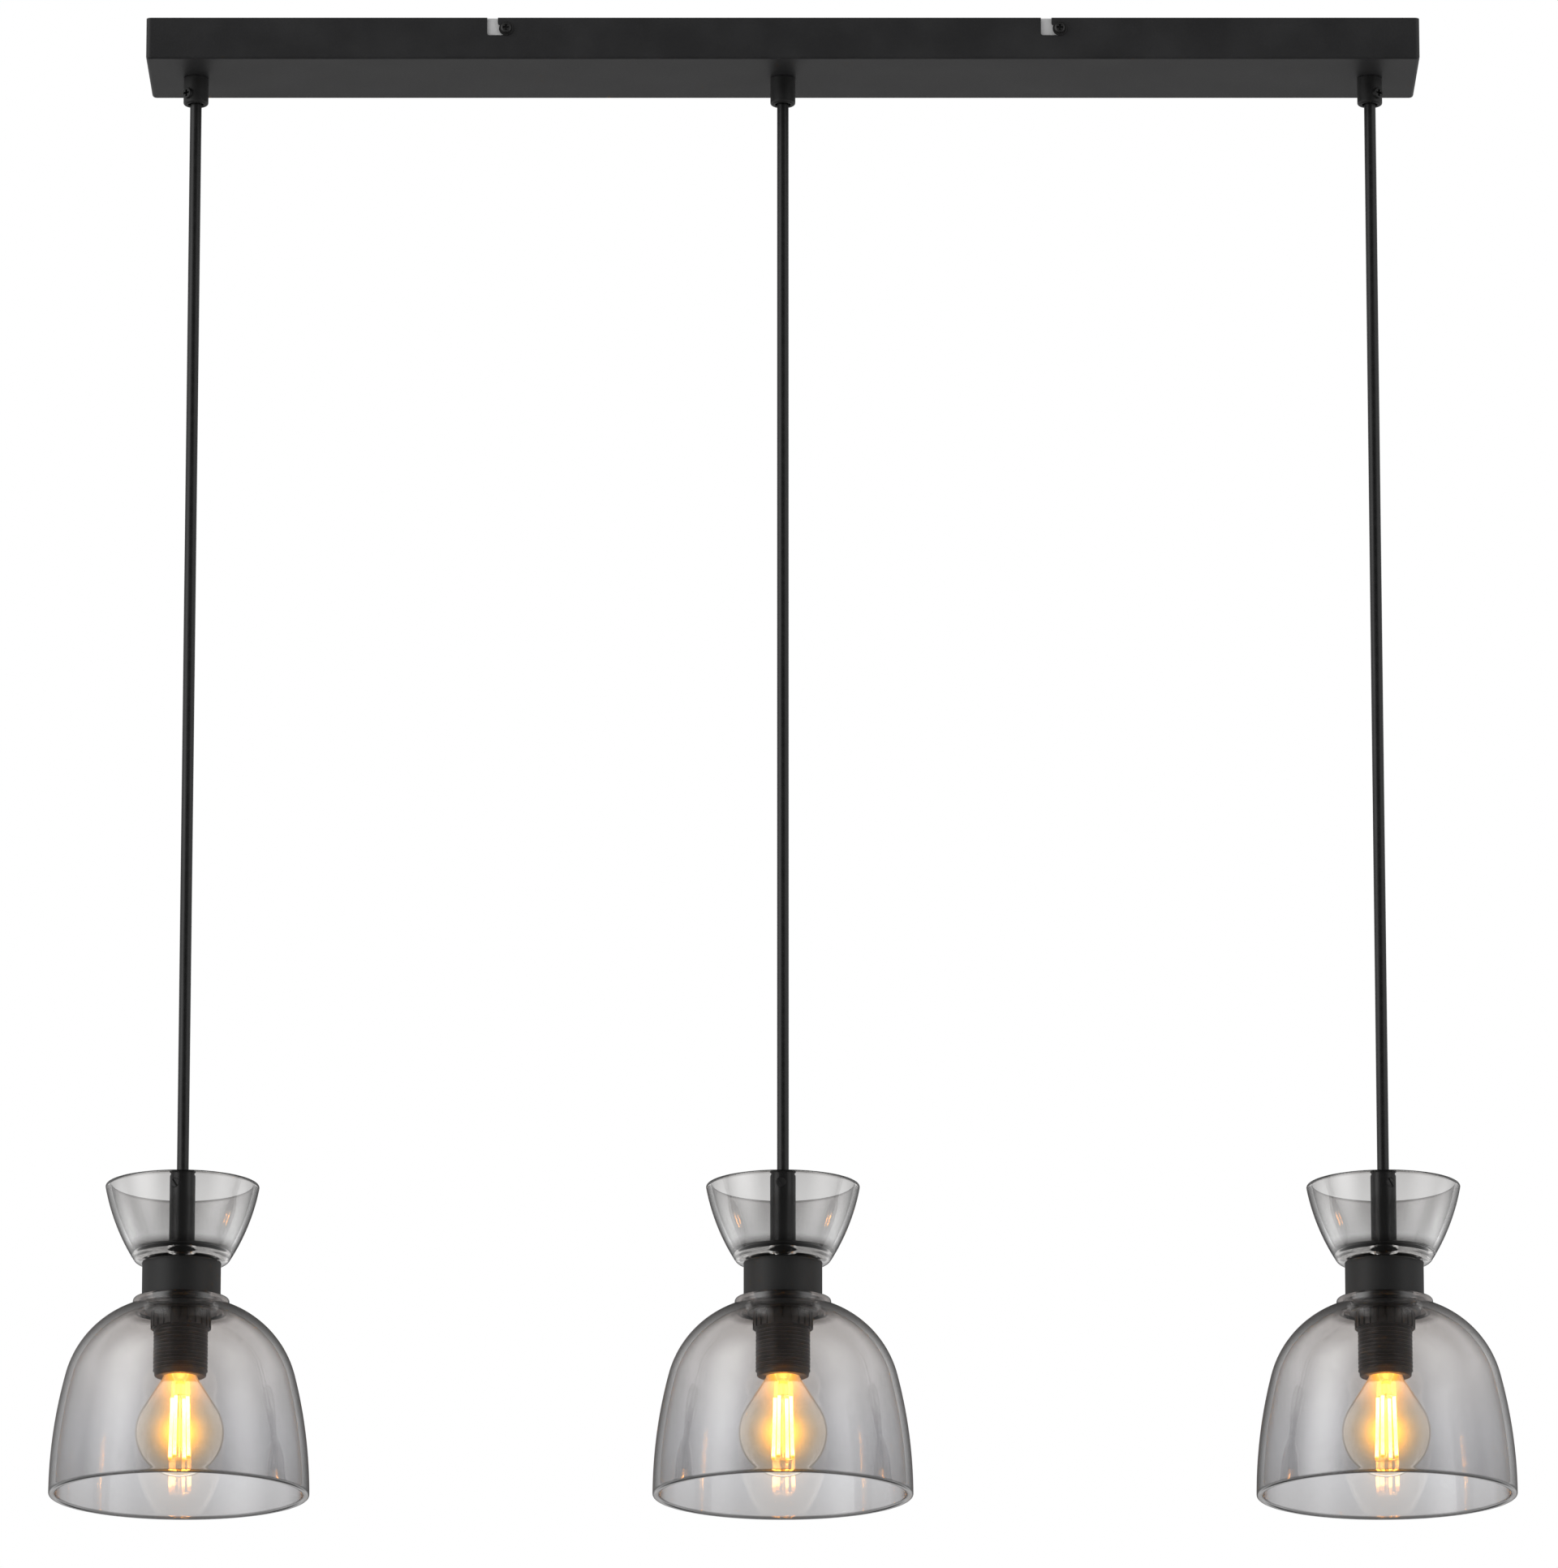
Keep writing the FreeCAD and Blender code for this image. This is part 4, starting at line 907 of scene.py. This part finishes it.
def mount_glass_shape():
    """The glass stem, wide where it joins the neck and pinched flat at its end."""
    profile, tip = start_profile(0, MOUNT_BOTTOM)
    under = MOUNT_TOP - GLOBE_WALL
    press = run_to(profile, tip, (MOUNT_PRESS, MOUNT_BOTTOM))
    waist = run_to(profile, press, (MOUNT_PRESS, MOUNT_BOTTOM + MOUNT_PRESS_HEIGHT))
    flare = run_to(profile, waist, (MOUNT_FLARE, under))
    run_to(profile, flare, (MOUNT_LIP, under), (MOUNT_LIP, MOUNT_TOP), (0, MOUNT_TOP))
    round_corners(profile, [press], MOUNT_END_ROUND)
    round_corners(profile, [waist], MOUNT_WAIST_ROUND, 8)
    round_corners(profile, [flare], MOUNT_FLARE_ROUND)
    turn_whole(profile, 48)
    return profile


def mount_wire_shape():
    """The mast down the middle and the wires out to both ends of each filament."""
    shape = bmesh.new()
    hub = Vector((0, 0, filament_ends(0)[1].z - 2 * WIRE_RADIUS))
    mast_foot = hub - Vector((0, 0, MAST_PAST_HUB))
    mast_top = Vector((0, 0, MOUNT_BOTTOM + MAST_IN_GLASS))
    add_rod(shape, mast_foot, mast_top, MAST_RADIUS, 16)
    for k in range(FILAMENTS):
        top, foot = filament_ends(k)
        middle = Vector((0, 0, top.z + 2 * WIRE_RADIUS))
        add_rod(shape, middle, top + Vector((0, 0, WIRE_RADIUS)), WIRE_RADIUS, 12)
        add_rod(shape, hub, foot - Vector((0, 0, 2 * WIRE_RADIUS)), WIRE_RADIUS, 12)
    return shape


# Each piece of a lamp: shape, name, body, slot, finish, and the node it stands for
LAMP_PIECES = [
    (cup_shape, "glass_cup", "lamp", "smoked_glass", CUP_GLASS, "cup_glass"),
    (bell_shape, "glass_bell", "lamp", "smoked_glass", BELL_GLASS, "bell_glass"),
    (globe_shape, "bulb_skin", "bulb", "bulb_glass", BULB_GLASS, "bulb_globe"),
    (filament_shape, "filaments", "bulb", "filament", FINISHES["filament"], "bulb_filaments"),
    (mount_glass_shape, "mount_glass", "bulb", "bulb_glass", MOUNT_GLASS, "bulb_mount"),
    (mount_wire_shape, "mount_wires", "bulb", "cap_metal", FINISHES["cap_metal"], "bulb_mount"),
]


def make_lamp(pendant, x):
    """The glasses and the bulb of one lamp."""
    for shape, name, body, slot, finish, node in LAMP_PIECES:
        finished(
            shape(),
            f"{name}_{pendant}",
            f"{body}_{pendant}",
            finish,
            f"{node}_{pendant}",
            x,
        )


# Nodes of the model


def finish_nodes():
    """Gives each node of the model its finish."""
    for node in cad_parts.values():
        for slot in node.material_slots:
            name = slot.material.name.split(".")[0]
            # The nipples take the darker copy of the zinc plate, painted shade
            slot.material = SHADED_ZINC_COPY if node.name.startswith("nipple") else FINISHES[name]


# Floor, surroundings and light


def make_floor():
    """A pale floor far below, white to the camera and left out of glass and reflections."""
    shape = bmesh.new()
    bmesh.ops.create_grid(shape, x_segments=1, y_segments=1, size=FLOOR_REACH)
    bmesh.ops.translate(shape, verts=shape.verts[:], vec=(0, 0, FLOOR_LEVEL))
    floor = add_to_scene(shape, "floor")
    mix = new_finish("floor_paint")
    cloud = mix.noise(mix.place(), size=2.0)
    seen = mix.light_path("Is Camera Ray")
    paint = mix.principled(
        {
            "Base Color": mix.blend(cloud, grey(0.80), grey(0.84)),
            "Roughness": 0.7,
            "Emission Color": mix.blend(seen, grey(0.0), grey(0.55)),
            "Emission Strength": 1.0,
        }
    )
    floor.data.materials.append(mix.surface(paint))
    floor.visible_glossy = False
    floor.visible_transmission = False


def make_world():
    """White to the camera and through glass. In reflections only the sides, and a low band
    behind the object, are light."""
    world = bpy.data.worlds.new("studio")
    bpy.context.scene.world = world
    mix = Recipe(world)
    seen = mix.light_path("Is Camera Ray")
    passed = mix.light_path("Is Transmission Ray")
    mirrored = mix.light_path("Is Glossy Ray")
    mirrored_before = mix.light_path("Glossy Depth").clipped()
    spread_before = mix.light_path("Diffuse Depth").clipped()
    straight = passed * (1 - mirrored_before) * (1 - spread_before)
    shown = (seen + straight).clipped()
    inside = passed * mirrored_before * (1 - spread_before)
    reflected = (mirrored * (1 - passed) + inside).clipped()
    towards = mix.node("TexCoord", {}, {}, "Generated")
    aside = mix.axis(towards, "X") ** 2
    from_horizon = abs(mix.axis(towards, "Z") + HORIZON_DIP)
    behind = (mix.axis(towards, "Y") * 3).clipped()
    low_band = (1 - from_horizon * 4).clipped() * behind
    wings = (aside * 4).clipped() * behind
    level = (
        aside * MIRRORED_SIDES
        + wings * MIRRORED_WINGS
        + low_band * MIRRORED_HORIZON
        + MIRRORED_LEVEL
    )
    strength = shown + reflected * level + (1 - shown - reflected) * WORLD_LEVEL
    mix.surface(mix.node("Background", {}, {"Color": grey(1.0), "Strength": strength}))


def make_panel(name, place, width, height, strength):
    """A soft white light, bright in its middle and fading to its edges, never seen itself."""
    shape = bmesh.new()
    bmesh.ops.create_grid(shape, x_segments=1, y_segments=1, size=0.5)
    bmesh.ops.scale(shape, vec=(width, height, 1), verts=shape.verts[:])
    panel = add_to_scene(shape, name)
    aimed = (Vector(PANEL_AIM) - Vector(place)).to_track_quat("Z", "Y").to_matrix().to_4x4()
    panel.matrix_world = Matrix.Translation(place) @ aimed
    panel.visible_camera = False
    panel.visible_shadow = False
    mix = new_finish(name)
    here = mix.place()
    across = 1 - (mix.axis(here, "X") / (width / 2)) ** 2
    up = 1 - (mix.axis(here, "Y") / (height / 2)) ** 2
    level = (across.clipped() * up.clipped()) ** PANEL_FADE
    shine = mix.node("Emission", {}, {"Color": grey(1.0), "Strength": level * strength})
    clear = mix.node("BsdfTransparent", {}, {"Color": grey(1.0)})
    panel.data.materials.append(mix.surface(mix.node("AddShader", {}, {0: shine, 1: clear})))


make_camera()
for pendant, x in PENDANTS.items():
    make_cord(pendant, x)
finish_nodes()
for pendant, x in PENDANTS.items():
    make_lamp(pendant, x)
make_floor()
make_world()
for name, (place, width, height, strength) in PANELS.items():
    make_panel(name, place, width, height, strength)
bpy.context.scene.view_settings.view_transform = "Standard"


def corners(box):
    return [list(corner) for corner in box]
